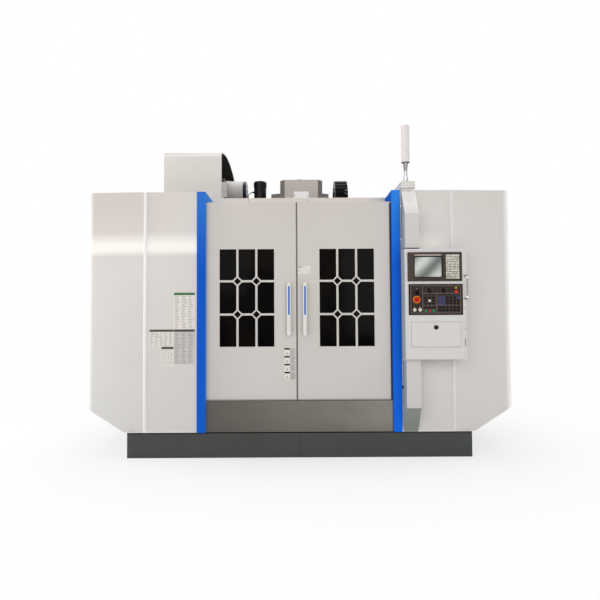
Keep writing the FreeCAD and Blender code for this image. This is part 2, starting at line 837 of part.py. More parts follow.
def head_cover():
    """Sheet cover around the head: a main box with receding sides, flared lower down."""
    def plan(centre, width, back, inset):
        half_front = f"cover_front_width / 2 - {inset}"
        half_side = f"{width} / 2 - {inset}"
        return [(f"{centre} - ({half_front})", f"cover_front + {inset}"),
                (f"{centre} + ({half_front})", f"cover_front + {inset}"),
                (f"{centre} + ({half_side})", f"cover_front + cover_chamfer + {inset}"),
                (f"{centre} + ({half_side})", back),
                (f"{centre} - ({half_side})", back),
                (f"{centre} - ({half_side})", f"cover_front + cover_chamfer + {inset}")]
    above = "spindle_x + cover_main_shift"
    upper = prism("XY", plan(above, "cover_main_width", "cover_upper_back", "0"),
                  "nose + cover_flare_rise", "nose + cover_top_rise")
    lower = prism("XY", plan("spindle_x", "cover_flare_width", "cover_back", "0"),
                  "nose + cover_bottom_rise", "nose + cover_flare_rise")
    room_up = prism("XY", plan(above, "cover_main_width", "cover_upper_back - skin", "skin"),
                    "nose + cover_flare_rise - skin", "nose + cover_top_rise - skin")
    room_low = prism("XY", plan("spindle_x", "cover_flare_width", "cover_back + 1", "skin"),
                     "nose + cover_bottom_rise - 1", "nose + cover_flare_rise - skin")
    foot = block("spindle_x - head_width / 2", "spindle_x + head_width / 2", "cover_front + skin",
                 "head_front", "head_bottom + cover_foot_rise",
                 "head_bottom + cover_foot_rise + cover_foot_height")
    node("head_cover", joined(less(joined(upper, lower), room_up, room_low), foot))


def cable_chain():
    """Cable chain that hangs in a loop beside the head, between the column and the head."""
    inner = "chain_outer_radius - chain_thickness"
    ring = less(rod("x", "chain_left", "chain_right", "chain_middle_y", "chain_crown_z",
                    "chain_outer_radius"),
                rod("x", "chain_left - 1", "chain_right + 1", "chain_middle_y", "chain_crown_z", inner),
                block("chain_left - 1", "chain_right + 1", "chain_front - 1", "chain_rear + 1",
                      "chain_crown_z - chain_outer_radius - 1", "chain_crown_z"))
    legs = [block("chain_left", "chain_right", low, f"{low} + chain_thickness", "chain_end", "chain_crown_z")
            for low in ("chain_front", "chain_rear - chain_thickness")]
    node("cable_chain", joined(ring, *legs))


def chain_brackets():
    """Angle brackets that hold the two ends of the cable chain: one on the head, one on the column."""
    low = "chain_end - bracket_plate"
    leg_back = "chain_front + chain_thickness"
    shelf = block("cover_side", "chain_right", "chain_front", leg_back, low, "chain_end")
    cheek = block("cover_side", "cover_side + bracket_plate", "chain_front", leg_back,
                  "chain_end - bracket_drop", low)
    node("head_chain_bracket", joined(shelf, cheek))
    foot_left = "spindle_x + slide_width / 2 + bracket_foot_rise"
    foot_low = "chain_end - bracket_foot_drop"
    foot_high = "chain_end + bracket_foot_rise"
    fixed = joined(
        block("chain_left", "chain_right", "chain_rear - chain_thickness", "chain_rear + bracket_plate", low,
              "chain_end"),
        block("chain_left", "chain_left + bracket_web", "chain_rear", "column_front - skin",
              "chain_end - bracket_web_drop", "chain_end"),
        block(foot_left, "chain_right", "column_front - 5 * skin", "column_front - skin", foot_low,
              foot_high),
        block(foot_left, "column_right", "column_front - skin", "column_front", foot_low, foot_high))
    node("column_chain_bracket", fixed)


# ---------------------------------------------------------------- tool changer and magazine

def tool_changer():
    """Cam box on the column, its upright motor, the drop shaft and the double arm."""
    box = block("cam_box_left", "cam_box_right", "cam_box_front", "column_front", "cam_box_bottom",
                "cam_box_top")
    flange = block("cam_box_left", "column_left", "column_front", "carrier_arm_front",
                   "cam_box_bottom", "cam_box_top - cam_flange_drop")
    bore = rod("z", "cam_box_bottom - 1", "cam_box_top - cam_box_roof", "changer_x", "changer_y",
               "shaft_radius + screw_clearance")
    node("atc_cam_box", less(joined(box, flange), bore))
    motor = rod("z", "cam_box_top", "changer_motor_top", "changer_x", "changer_y", "changer_motor_radius")
    cap = rod("z", "changer_motor_top", "changer_cap_top", "changer_x", "changer_y",
              "changer_motor_radius + motor_cap_lip")
    crown = number("changer_cap_top")
    node("atc_motor", softened(joined(motor, cap), "motor_cap_round", level("z", crown)))
    shaft = rod("z", "arm_top + running_gap", "shaft_top", "changer_x", "changer_y", "shaft_radius")
    pin = rod("z", "arm_bottom - arm_nut_height", "arm_top + running_gap", "changer_x", "changer_y",
              "shaft_pin_radius")
    nut = rod("z", "arm_bottom - arm_nut_height", "arm_bottom - running_gap", "changer_x", "changer_y",
              "shaft_radius")
    node("atc_shaft", joined(shaft, pin, nut))


def changer_arm():
    """Double arm with an open gripper at each end, parked along Y."""
    radius = "sqrt((spindle_x - changer_x) ^ 2 + (changer_y - spindle_y) ^ 2)"
    hub = rod("z", "arm_bottom", "arm_top", "changer_x", "changer_y", "arm_hub_radius")
    bar = block("changer_x - arm_width / 2", "changer_x + arm_width / 2", f"changer_y - {radius}",
                f"changer_y + {radius}", "arm_bottom", "arm_top")
    pads = []
    holes = [rod("z", "arm_bottom - 1", "arm_top + 1", "changer_x", "changer_y",
                 "shaft_pin_radius + running_gap")]
    for side, open_side in (("-", "+"), ("+", "-")):
        end = f"changer_y {side} {radius}"
        pads.append(rod("z", "arm_bottom", "arm_top", "changer_x", end, "grip_outer_radius"))
        holes.append(rod("z", "arm_bottom - 1", "arm_top + 1", "changer_x", end, "grip_inner_radius"))
        edges = sorted(["0", f"{open_side}2 * grip_inner_radius"], key=number)
        holes.append(block(f"changer_x + {edges[0]}", f"changer_x + {edges[1]}",
                           f"{end} - grip_mouth", f"{end} + grip_mouth", "arm_bottom - 1", "arm_top + 1"))
    node("atc_arm", less(joined(hub, bar, *pads), *holes))


def magazine_disc():
    """Disc of tool pots with one place left for the change pot, built about its own axle."""
    body = doc.addObject("PartDesign::Body", "disc")

    def round_pad(radius, up, start, length, feature="PartDesign::Pad"):
        sketch = body.newObject("Sketcher::SketchObject", "circle")
        base = next(item for item in body.Origin.OriginFeatures if item.Role == "YZ_Plane")
        sketch.AttachmentSupport = (base, [""])
        sketch.MapMode = "FlatFace"
        sketch.setExpression("AttachmentOffset.Base.z", cell(start))
        middle = FreeCAD.Vector(0, number(up), 0)
        sketch.addGeometry(Part.Circle(middle, FreeCAD.Vector(0, 0, 1), number(radius)))
        width = sketch.addConstraint(Sketcher.Constraint("Radius", 0, number(radius)))
        sketch.setExpression(f"Constraints[{width}]", cell(radius))
        sketch.addConstraint(Sketcher.Constraint("DistanceX", -1, 1, 0, 3, 0.0))
        height = sketch.addConstraint(Sketcher.Constraint("DistanceY", -1, 1, 0, 3, number(up)))
        sketch.setExpression(f"Constraints[{height}]", cell(up))
        made = body.newObject(feature, "round")
        made.Profile = sketch
        made.setExpression("Length", cell(length))
        return sketch, made

    back = "-disc_thickness"
    plate_sketch, plate = round_pad("disc_radius", "0", back, "disc_thickness")
    round_pad("hub_radius", "0", back, "disc_thickness + carrier_left - disc_right - running_gap")
    lug_top = "-disc_radius + lug_half_width"
    lug_sketch = outline(body, "YZ", [("-lug_half_width", lug_top), ("lug_half_width", lug_top),
                                      ("lug_half_width", "-pot_circle"), ("-lug_half_width", "-pot_circle")],
                         back)
    lug = body.newObject("PartDesign::Pad", "lug")
    lug.Profile = lug_sketch
    lug.setExpression("Length", cell("disc_thickness"))
    pot_start = "-pot_setback / 2 - pot_length"
    pot_sketch, pot = round_pad("pot_radius", "-pot_circle", pot_start, "pot_length")
    bore_sketch, bore = round_pad("pot_bore", "-pot_circle", pot_start, "pot_length - pot_base",
                                  "PartDesign::Pocket")
    bore.Reversed = True
    doc.recompute()
    ring = body.newObject("PartDesign::PolarPattern", "pots")
    ring.Originals = [lug, pot, bore]
    ring.Axis = (plate_sketch, ["N_Axis"])
    ring.setExpression("Angle", cell("360 - 720 / pot_count"))
    ring.setExpression("Occurrences", cell("pot_count - 1"))
    body.Tip = ring
    doc.recompute()
    clevis = []
    for side in ("-", "+"):
        inner, outer = sorted([f"{side}clevis_inner", f"{side}clevis_outer"], key=number)
        strap = block("disc_right - clevis_lap", "pot_x + hinge_eye_radius", f"disc_y + {inner}",
                      f"disc_y + {outer}", "pot_pivot_z", "pot_pivot_z + pot_inset + clevis_rise")
        eye = rod("y", f"disc_y + {inner}", f"disc_y + {outer}", "pot_x", "pot_pivot_z", "hinge_eye_radius")
        hole = rod("y", "disc_y - 2 * clevis_outer", "disc_y + 2 * clevis_outer", "pot_x", "pot_pivot_z",
                   "hinge_pin_radius + running_gap")
        clevis.append(less(joined(strap, eye), hole))
    turn = FreeCAD.Rotation(FreeCAD.Vector(1, 0, 0), number("360 / pot_count"))
    body.Placement = FreeCAD.Placement(FreeCAD.Vector(), turn)
    place(body, "disc_right", "disc_y", "disc_z")
    node("magazine_disc", joined(body, *clevis))


def change_pot():
    """The pot at the change place, hinged so that its mouth can turn down."""
    pot = rod("x", "pot_front", "pot_back", "disc_y", "pot_pivot_z", "pot_radius")
    bore = rod("x", "pot_front - 1", "pot_back - pot_base", "disc_y", "pot_pivot_z", "pot_bore")
    low = "disc_y - clevis_inner + running_gap"
    high = "disc_y + clevis_inner - running_gap"
    ear = rod("y", low, high, "pot_x", "pot_pivot_z", "hinge_eye_radius")
    neck = block("pot_back - 1", "pot_x", low, high, "pot_pivot_z - hinge_eye_radius",
                 "pot_pivot_z + hinge_eye_radius")
    pin = rod("y", "disc_y - hinge_pin_length / 2", "disc_y + hinge_pin_length / 2", "pot_x", "pot_pivot_z",
              "hinge_pin_radius")
    node("change_pot", joined(less(pot, bore), ear, neck, pin))


def magazine_carrier():
    """Carrier plate of the magazine on a beam from the column."""
    plate = block("carrier_left", "carrier_right", "magazine_front", "magazine_back", "carrier_bottom",
                  "carrier_top")
    beam = block("carrier_right", "column_left", "carrier_arm_front", "carrier_arm_front + carrier_arm_depth",
                 "carrier_arm_bottom", "carrier_arm_bottom + carrier_arm_height")
    node("magazine_carrier", joined(plate, beam))


def magazine_cover():
    """Rounded sheet cover over the magazine, open on its right side and underneath."""
    middle = "(magazine_front + magazine_back) / 2"

    def profile(inset, low):
        start = FreeCAD.Vector
        near = number(f"front + magazine_front + {inset}")
        far = number(f"front + magazine_back - ({inset})")
        shoulder = number(f"magazine_shoulder - ({inset})")
        crown = number(f"magazine_shoulder + magazine_crown - ({inset})")
        centre = number(f"front + {middle}")
        arch = Part.Arc(start(0, near, shoulder), start(0, centre, crown), start(0, far, shoulder))
        arch = arch.toShape()
        sides = [Part.makeLine(start(0, near, low), start(0, near, shoulder)), arch,
                 Part.makeLine(start(0, far, shoulder), start(0, far, low)),
                 Part.makeLine(start(0, far, low), start(0, near, low))]
        return Part.Face(Part.Wire(sides))

    left = number("magazine_left")
    width = number("magazine_right - magazine_left")
    skin = number("skin")
    low = number("magazine_bottom")
    shell = profile("0", low).extrude(FreeCAD.Vector(width, 0, 0))
    shoulder = number("magazine_shoulder")
    shell = shell.makeFillet(number("magazine_corner"), list(filter(level("z", shoulder), shell.Edges)))
    room = profile("skin", low - skin).extrude(FreeCAD.Vector(width, 0, 0))
    corners = list(filter(level("z", shoulder - skin), room.Edges))
    room = room.makeFillet(number("magazine_corner - skin"), corners)
    room.translate(FreeCAD.Vector(skin, 0, 0))
    cover = doc.addObject("Part::Feature", "magazine_cover")
    cover.Shape = shell.cut(room)
    cover.Placement.Base.x = left
    node("magazine_cover", cover)


def magazine_drive_motor():
    """Level motor that turns the magazine disc, with a dark end cap."""
    body = rod("x", "carrier_right", "drive_motor_end", "drive_motor_y", "drive_motor_z",
               "drive_motor_radius")
    cap = rod("x", "drive_motor_end", "drive_cap_end", "drive_motor_y", "drive_motor_z",
              "drive_motor_radius - drive_motor_lip")
    end = number("drive_cap_end")
    node("magazine_drive_motor", softened(joined(body, cap), "drive_motor_round", level("x", end)))


# ---------------------------------------------------------------- enclosure

def wing_plan(side, inset, inner, back):
    """Plan of a wing: flat inner panel, fold, receding outer panel, bevelled corner and side."""
    points = [(inner, f"wing_setback + {inset}"),
              ("wing_fold_x", f"wing_setback + {inset}"),
              ("wing_corner_x", f"wing_corner_y + {inset}"),
              (f"half - wing_corner * wing_bevel - {inset} * 0.9",
               f"wing_corner_y + wing_corner * wing_bevel + {inset} * 0.5"),
              (f"half - {inset}", "wing_corner_y + wing_corner"),
              (f"half - {inset}", back),
              (inner, back)]
    return [(f"{side}({across})", depth) for across, depth in points]


def corner_cut(side, inset):
    """Wedge that is cut off a wing's lower outer corner, moved inwards by an inset."""
    low = f"wing_bottom + 1.2 * {inset}"
    near = f"{side}(half - wing_cut_in - {inset})"
    far = f"{side}(half + 5)"
    return prism("XZ", [(near, "wing_bottom - 1"), (far, "wing_bottom - 1"), (far, f"{low} + wing_cut_rise"),
                        (f"{side}half", f"{low} + wing_cut_rise"), (near, low)], "0", "column_front + 1")


def wing_cover(name, side):
    """One half of the enclosure: folded front, side, rear wall, floor and cut-away lower corner."""
    outer = prism("XY", wing_plan(side, "0", "pillar_outer", "column_front"), "wing_bottom", "wing_top")
    room = prism("XY", wing_plan(side, "skin", "pillar_outer - 1", "column_front - skin"),
                 "wing_bottom + skin", "wing_top + 1")
    lip = prism("XY", wing_plan(side, "skin", "pillar_outer", "column_front - skin"),
                "wing_top - skin", "wing_top")
    lip_room = prism("XY", wing_plan(side, "wing_lip", "pillar_outer - 1", "column_front - skin - wing_lip"),
                     "wing_top - skin - 1", "wing_top + 1")
    inner = less(room, corner_cut(side, "skin"))
    shell = joined(less(outer, corner_cut(side, "0"), inner), less(lip, lip_room))
    if side == "-":
        notch = block("-half + skin + wing_lip", "-pillar_outer + 1", "column_front - skin - wing_lip - 1",
                      "column_front + 1", "left_notch_height", "wing_top + 1")
        shell = less(shell, notch)
    node(name, shell)


def pillar(name, side):
    """Blue upright of folded sheet, open at its back, with a top arm that reaches back."""
    def span(inner, outer, y0, y1, z0, z1):
        low, high = sorted([f"{side}({inner})", f"{side}({outer})"], key=number)
        return block(low, high, y0, y1, z0, z1)
    upright = span("pillar_inner", "pillar_outer", "0", "pillar_depth", "wing_bottom", "wing_top")
    hollow = span("pillar_inner + skin", "pillar_outer - skin", "skin", "pillar_depth + 1",
                  "wing_bottom + skin", "pillar_arm_bottom - skin")
    arm = span("pillar_inner", "pillar_outer", "pillar_depth", "pillar_arm_length - skin",
               "pillar_arm_bottom", "wing_top")
    node(name, joined(less(upright, hollow), arm))


def door_header():
    """Beam over the doors with the guide rail, a deck and a rear upstand."""
    length = "pocket_outer"
    beam = block(f"-{length}", length, "beam_front", "beam_back", "header_bottom", "beam_top")
    rail = block(f"-{length}", length, "beam_front - rail_depth", "beam_front", "rail_bottom",
                 "rail_bottom + rail_height")
    deck = block("-pillar_outer", "pillar_outer", "beam_front", "header_back", "beam_top",
                 "beam_top + header_deck")
    upstand = block("-pillar_outer", "pillar_outer", "header_back - skin", "header_back", "beam_top",
                    "header_upstand")
    node("door_header", joined(beam, rail, deck, upstand))


def front_apron():
    """Steel apron under the doors with a top lip and the floor behind it."""
    left, right = "-pillar_inner", "pillar_inner"
    lip_back = "apron_front + apron_lip"
    face = block(left, right, "apron_front", "apron_front + skin", "wing_bottom", "apron_top")
    lip = block(left, right, "apron_front", lip_back, "apron_top - skin", "apron_top")
    drop = block(left, right, f"{lip_back} - skin", lip_back, "apron_top - apron_drop", "apron_top")
    floor = block(left, right, "apron_front", "bed_front", "wing_bottom", "wing_bottom + skin")
    sides = [block(low, high, "pillar_depth", "bed_front", "wing_bottom", "wing_bottom + skin")
             for low, high in (("-pillar_outer", left), (right, "pillar_outer"))]
    node("front_apron", joined(face, lip, drop, floor, *sides))


def inner_guard(name, side):
    """Door pocket guard, floor and rear wall that close the gap between a wing and the castings."""
    def span(inner, outer, y0, y1, z0, z1):
        low, high = sorted([inner, outer], key=number)
        return block(low, high, y0, y1, z0, z1)
    bed = "bed_right" if side == "+" else "bed_left"
    post = "column_right" if side == "+" else "column_left"
    top = "left_notch_height" if side == "-" else "wing_top"
    pocket = span(f"{side}guard_inner", f"{side}pocket_outer", "guard_front", "guard_front + skin",
                  "wing_bottom + skin", "header_bottom")
    web = span(f"{side}(pocket_outer - skin)", f"{side}pocket_outer", "guard_front - guard_web + skin",
               "guard_front + skin", "wing_bottom + skin", "header_bottom")
    floor = span(bed, f"{side}pillar_outer", "bed_front", "column_front", "wing_bottom", "wing_bottom + skin")
    rear = span(bed, f"{side}pillar_outer", "column_front - skin", "column_front", "wing_bottom", top)
    upper = span(post, bed, "column_front - skin", "column_front", "bed_top", top)
    pocket_wall = less(joined(pocket, web), corner_cut(side, "(skin + running_gap)"))
    node(name, joined(pocket_wall, joined(floor, rear, upper)))


def coolant_tank(name, side):
    """Open coolant tank under one half of the machine, with a raised strainer frame at its front."""
    def span(inner, outer, y0, y1, z0, z1):
        low, high = sorted([f"{side}({inner})", f"{side}({outer})"], key=number)
        return block(low, high, y0, y1, z0, z1)
    wall = "tank_half_width - skin"
    rim = "tank_height - skin"
    low_part = span("1", "tank_half_width", "tank_front", "tank_shallow", "0", "tank_height")
    deep_part = span("tank_inner", "tank_half_width", "tank_shallow", "tank_deep", "0", "tank_height")
    low_room = span("1 + skin", wall, "tank_front + skin", "tank_shallow - skin", "skin", "tank_height + 1")
    deep_room = span("tank_inner + skin", wall, "tank_shallow - skin - 1", "tank_deep - skin", "skin",
                     "tank_height + 1")
    frame = span("1 + tank_lid_setback", "tank_half_width - 2 * tank_lid_setback",
                 "tank_front + tank_lid_setback", "tank_shallow", rim, "tank_height + tank_lid_rise")
    hole = span("1 + 2 * tank_lid_setback", "tank_half_width - 3 * tank_lid_setback",
                "tank_front + 2 * tank_lid_setback", "tank_shallow - tank_lid_setback", f"{rim} - 1",
                "tank_height + tank_lid_rise + 1")
    node(name, joined(less(joined(low_part, deep_part), joined(low_room, deep_room)), less(frame, hole)))


# ---------------------------------------------------------------- doors

def gem(x, z, half, start, end):
    """A diamond that stands on a corner, between two depths."""
    corners = [(f"{x} - {half}", z), (x, f"{z} - {half}"), (f"{x} + {half}", z), (x, f"{z} + {half}")]
    return prism("XZ", corners, start, end)


def door(side, name):
    """Folded door with a gridded window opening and two carriages on the rail."""
    inner = f"door_seam_x {side} door_seam / 2"
    outer = f"door_seam_x {side} (door_seam / 2 + door_width)"
    low, high = sorted([inner, outer], key=number)
    panel = block(low, high, "door_front", "door_back", "door_bottom", "door_top")
    room = block(f"{low} + skin", f"{high} - skin", "door_front + skin", "door_back + 1",
                 "door_bottom + skin", "door_top - skin")
    middle_x = f"door_seam_x {side} window_offset"
    middle_z = "window_bottom + window_height / 2"
    opening = centred(middle_x, "door_front", middle_z, "window_width", "6 * skin", "window_height")
    grid = []
    gems = []
    shift_x = "(window_width - grid_bar * 2) / 3 / 2 + grid_bar / 2"
    shift_z = "(window_height - grid_bar * 2) / 3 / 2 + grid_bar / 2"
    grid_y = "door_front + skin / 2"
    for step in ("-", "+"):
        x = f"{middle_x} {step} ({shift_x})"
        grid.append(centred(x, grid_y, middle_z, "grid_bar", "skin", "window_height"))
        grid.append(centred(middle_x, grid_y, f"{middle_z} {step} ({shift_z})", "window_width", "skin",
                            "grid_bar"))
        for rise in ("-", "+"):
            z = f"{middle_z} {rise} ({shift_z})"
            grid.append(gem(x, z, "diamond_outer", "door_front", "door_front + skin"))
            gems.append(gem(x, z, "diamond_inner", "door_front - 1", "door_front + skin + 1"))
    carriages = []
    rail_top = "rail_bottom + rail_height"
    for end in ("carriage_margin", "door_width - carriage_margin"):
        x = f"{low} + {end}"
        carriage = block(f"{x} - carriage_length / 2", f"{x} + carriage_length / 2", "door_front + skin",
                         "beam_front - running_gap", "rail_bottom - carriage_lap",
                         f"{rail_top} + carriage_lap")
        groove = block(f"{x} - carriage_length", f"{x} + carriage_length",
                       "beam_front - rail_depth - running_gap", "beam_front + 1",
                       "rail_bottom - running_gap", f"{rail_top} + running_gap")
        carriages.append(less(carriage, groove))
    skin_piece = less(joined(less(panel, room, opening), *grid), *gems)
    node(f"{name}_door", joined(skin_piece, *carriages))
    node(f"{name}_window", centred(middle_x, "door_front + skin + glass_thickness / 2", middle_z,
                                   "window_width + 2 * window_lap", "glass_thickness",
                                   "window_height + 2 * window_lap"))
    bar_x = f"door_seam_x {side} handle_offset"
    bar = centred(bar_x, "door_front - handle_depth + (handle_depth - handle_foot_depth) / 2",
                  "handle_bottom + handle_length / 2", "handle_width", "handle_depth - handle_foot_depth",
                  "handle_length")
    soft = softened(bar, "min(handle_round; handle_width / 3)", along("z"))
    feet = [centred(bar_x, "door_front - handle_foot_depth / 2 - handle_foot_sink", z,
                    "handle_width - 2 * handle_foot_inset", "handle_foot_depth + 2 * handle_foot_sink",
                    "handle_foot")
            for z in ("handle_bottom + handle_foot", "handle_bottom + handle_length - handle_foot")]
    node(f"{name}_handle", joined(soft, *feet))


# ---------------------------------------------------------------- pendant and lamp

CONTROL_HOLES = [("stop_x", "stop_z", "stop_stem_radius"),
                 ("button_left", "button_z", "button_stem"),
                 ("button_left + button_pitch", "button_z", "button_stem"),
                 ("knob_left", "knob_z", "button_stem"),
                 ("knob_left + knob_pitch", "knob_z", "button_stem"),
                 ("key_x", "key_z", "button_stem")]


def pendant_post():
    """Boxed post with slanted ends in front of the right wing, parted where the pendant turns."""
    profile = prism("YZ", [("wing_setback", "wing_bottom"), ("wing_setback", "post_top"),
                           ("-post_front", "post_high_corner"), ("-post_front", "post_low_corner")],
                    "post_left", "post_right")
    gap = block("post_left - 1", "post_right + 1", "-post_front - 1", "wing_setback - skin",
                "pendant_bottom - running_gap", "pendant_top + running_gap")
    holes = [rod("z", low, high, "pendant_pivot_x", "-pendant_pivot_y", "pivot_radius + running_gap")
             for low, high in (("pendant_bottom - pivot_length - 1", "pendant_bottom"),
                               ("pendant_top", "pendant_top + pivot_length + 1"))]
    node("pendant_post", less(profile, gap, *holes))


def pendant_box():
    """Pendant housing with a bevelled right edge and a tray behind its door, on two pivot stubs."""
    near = "face_y"
    far = "-pendant_back"
    side = "pendant_right + pendant_bevel"
    body = prism("XY", [("pendant_left", near), ("pendant_right", near),
                        (side, f"{near} + pendant_bevel_depth"), (side, far), ("pendant_left", far)],
                 "pendant_bottom", "pendant_top")
    tray = block("tray_left", "tray_left + tray_width", f"{near} - 1", f"{near} + tray_depth",
                 "tray_bottom", "tray_bottom + tray_height")
    holes = [rod("y", f"{near} - 1", f"{near} + control_socket", x, z, f"{radius} + running_gap")
             for x, z, radius in CONTROL_HOLES]
    stubs = [rod("z", low, high, "pendant_pivot_x", "-pendant_pivot_y", "pivot_radius")
             for low, high in (("pendant_top", "pendant_top + pivot_length"),
                               ("pendant_bottom - pivot_length", "pendant_bottom"))]
    starts = ("tray_left", "tray_left + tray_width - tray_hinge_length")
    ends = [rod("x", start, f"{start} + tray_hinge_length", "tray_hinge_y", "tray_hinge_z",
                "tray_hinge_radius")
            for start in starts]
    seats = [block(start, f"{start} + tray_hinge_length", "tray_hinge_y", near,
                   "tray_hinge_z - tray_hinge_radius", "tray_hinge_z") for start in starts]
    node("pendant_box", joined(less(body, tray, *holes), *stubs, *ends, *seats))


def display_unit():
    """Display unit with its bezel, a recessed screen window and a field of keys."""
    near = "face_y - display_depth"
    left = "display_left + screen_left"
    low = "display_bottom + screen_bottom"
    body = block("display_left", "display_left + display_width", near, "face_y", "display_bottom",
                 "display_bottom + display_height")
    window = block(left, f"{left} + screen_width", f"{near} - 1", f"{near} + screen_recess", low,
                   f"{low} + screen_height")
    node("display_unit", less(softened(body, "bezel_round", along("y")), window))


def operator_panel():
    """Operator panel plate with the holes for its controls."""
    plate = block("panel_left", "panel_left + panel_width", "stop_y", "face_y", "panel_bottom",
                  "panel_bottom + panel_height")
    holes = [rod("y", "stop_y - 1", "face_y + 1", x, z, f"{radius} + running_gap")
             for x, z, radius in CONTROL_HOLES]
    ring = less(rod("y", "stop_y - stop_ring_height", "stop_y", "stop_x", "stop_z", "stop_ring_radius"),
                rod("y", "stop_y - stop_ring_height - 1", "stop_y", "stop_x", "stop_z",
                    "stop_stem_radius + running_gap"))
    node("operator_panel", joined(less(softened(plate, "bezel_round", along("y")), *holes), ring))


def control(x, z, radius, stem, start, height):
    """A round control: a head in front of the panel and a stem in its hole."""
    head = rod("y", f"stop_y - {start} - {height}", f"stop_y - {start}", x, z, radius)
    tail = rod("y", f"stop_y - {start}", "stop_y + control_tail", x, z, stem)
    return joined(head, tail)


def controls():
    """Emergency stop, override knobs, push buttons and the key switch."""
    stop_start = "(stop_stroke + stop_ring_height + running_gap)"
    node("emergency_stop", control("stop_x", "stop_z", "stop_head_radius", "stop_stem_radius", stop_start,
                                   "(stop_height - stop_stroke - stop_ring_height)"))
    for name, x in (("feed_override_knob", "knob_left"), ("spindle_override_knob", "knob_left + knob_pitch")):
        grip = control(x, "knob_z", "knob_radius", "button_stem", "running_gap", "knob_height")
        skirt = rod("y", "stop_y - knob_skirt_height", "stop_y - running_gap", x, "knob_z",
                    "knob_radius + knob_skirt")
        node(name, joined(grip, skirt))
    for name, x in (("power_on_button", "button_left"), ("power_off_button", "button_left + button_pitch")):
        node(name, control(x, "button_z", "button_radius", "button_stem", "(button_travel + running_gap)",
                           "(button_height - button_travel)"))
    node("key_switch", control("key_x", "key_z", "key_radius", "button_stem", "running_gap", "key_height"))


def tray_door():
    """Drop-down door of the pendant tray with a round lock."""
    clear = "running_gap"
    near = "face_y - tray_plate_rise"
    far_end = "tray_left + tray_width"
    plate = block(f"tray_left + {clear}", f"{far_end} - {clear}", near, f"{near} + tray_door_thickness",
                  f"tray_bottom + {clear}", f"tray_bottom + tray_height - {clear}")
    reliefs = [block(start, f"{start} + tray_hinge_length + 2 * tray_hinge_gap", f"{near} - 1",
                     f"face_y + {clear}", "tray_bottom", "tray_bottom + 2 * tray_hinge_radius")
               for start in ("tray_left - tray_hinge_gap", f"{far_end} - tray_hinge_length - tray_hinge_gap")]
    lock = rod("y", f"{near} - tray_lock_height", near, "tray_left + tray_width / 2",
               "tray_bottom + tray_height * tray_lock_place", "tray_lock_radius")
    knuckle = rod("x", "tray_left + tray_hinge_length + 2 * tray_hinge_gap",
                  f"{far_end} - tray_hinge_length - 2 * tray_hinge_gap",
                  "tray_hinge_y", "tray_hinge_z", "tray_hinge_radius")
    node("tray_door", joined(less(plate, *reliefs), lock, knuckle))


def pendant_handle():
    """Upright grip bar in front of the pendant's bevel."""
    side = "pendant_right + pendant_bevel"
    bar_x = f"{side} - grip_bar_inset"
    y = "face_y - grip_bar_reach"
    bar = rod("z", "grip_bar_bottom", "grip_bar_bottom + grip_bar_length", bar_x, y, "grip_bar_radius")
    arms = [block(f"{bar_x} - grip_arm / 2", f"{bar_x} + grip_arm / 2", y, "face_y + pendant_bevel_depth", z,
                  f"{z} + grip_arm")
            for z in ("grip_bar_bottom", "grip_bar_bottom + grip_bar_length - grip_arm")]
    behind = prism("XY", [("pendant_right", "face_y"), (side, "face_y + pendant_bevel_depth"),
                          (side, "face_y + 2 * pendant_bevel_depth"),
                          ("pendant_right", "face_y + 2 * pendant_bevel_depth")],
                   "pendant_bottom", "pendant_top")
    node("pendant_handle", less(joined(bar, *arms), behind))


def signal_lamp():
    """Lamp stand on the wing top and the white lamp tube on its chrome neck."""
    right = "lamp_box_left + lamp_box_width"
    foot = block("post_left", right, "wing_setback", "wing_setback + lamp_foot_depth", "wing_top",
                 "lamp_box_bottom")
    box = block("lamp_box_left", right, "-lamp_box_front", "-lamp_box_front + lamp_box_depth",
                "lamp_box_bottom", "lamp_box_top")
    collar = rod("z", "lamp_box_top", "lamp_collar_top", "lamp_x", "lamp_y", "lamp_collar_radius")
    stem = rod("z", "lamp_collar_top", "lamp_neck_bottom", "lamp_x", "lamp_y", "lamp_rod_radius")
    neck = cone("lamp_neck_bottom", "lamp_tube_bottom", "lamp_x", "lamp_y",
                "lamp_neck_radius", "lamp_neck_radius + lamp_neck_flare")
    node("lamp_stand", joined(foot, box, collar, stem, neck))
    tube = rod("z", "lamp_tube_bottom", "lamp_top", "lamp_x", "lamp_y", "lamp_radius")
    node("lamp_tube", softened(tube, "lamp_round", level("z", number("lamp_top"))))


# ---------------------------------------------------------------- cabinet

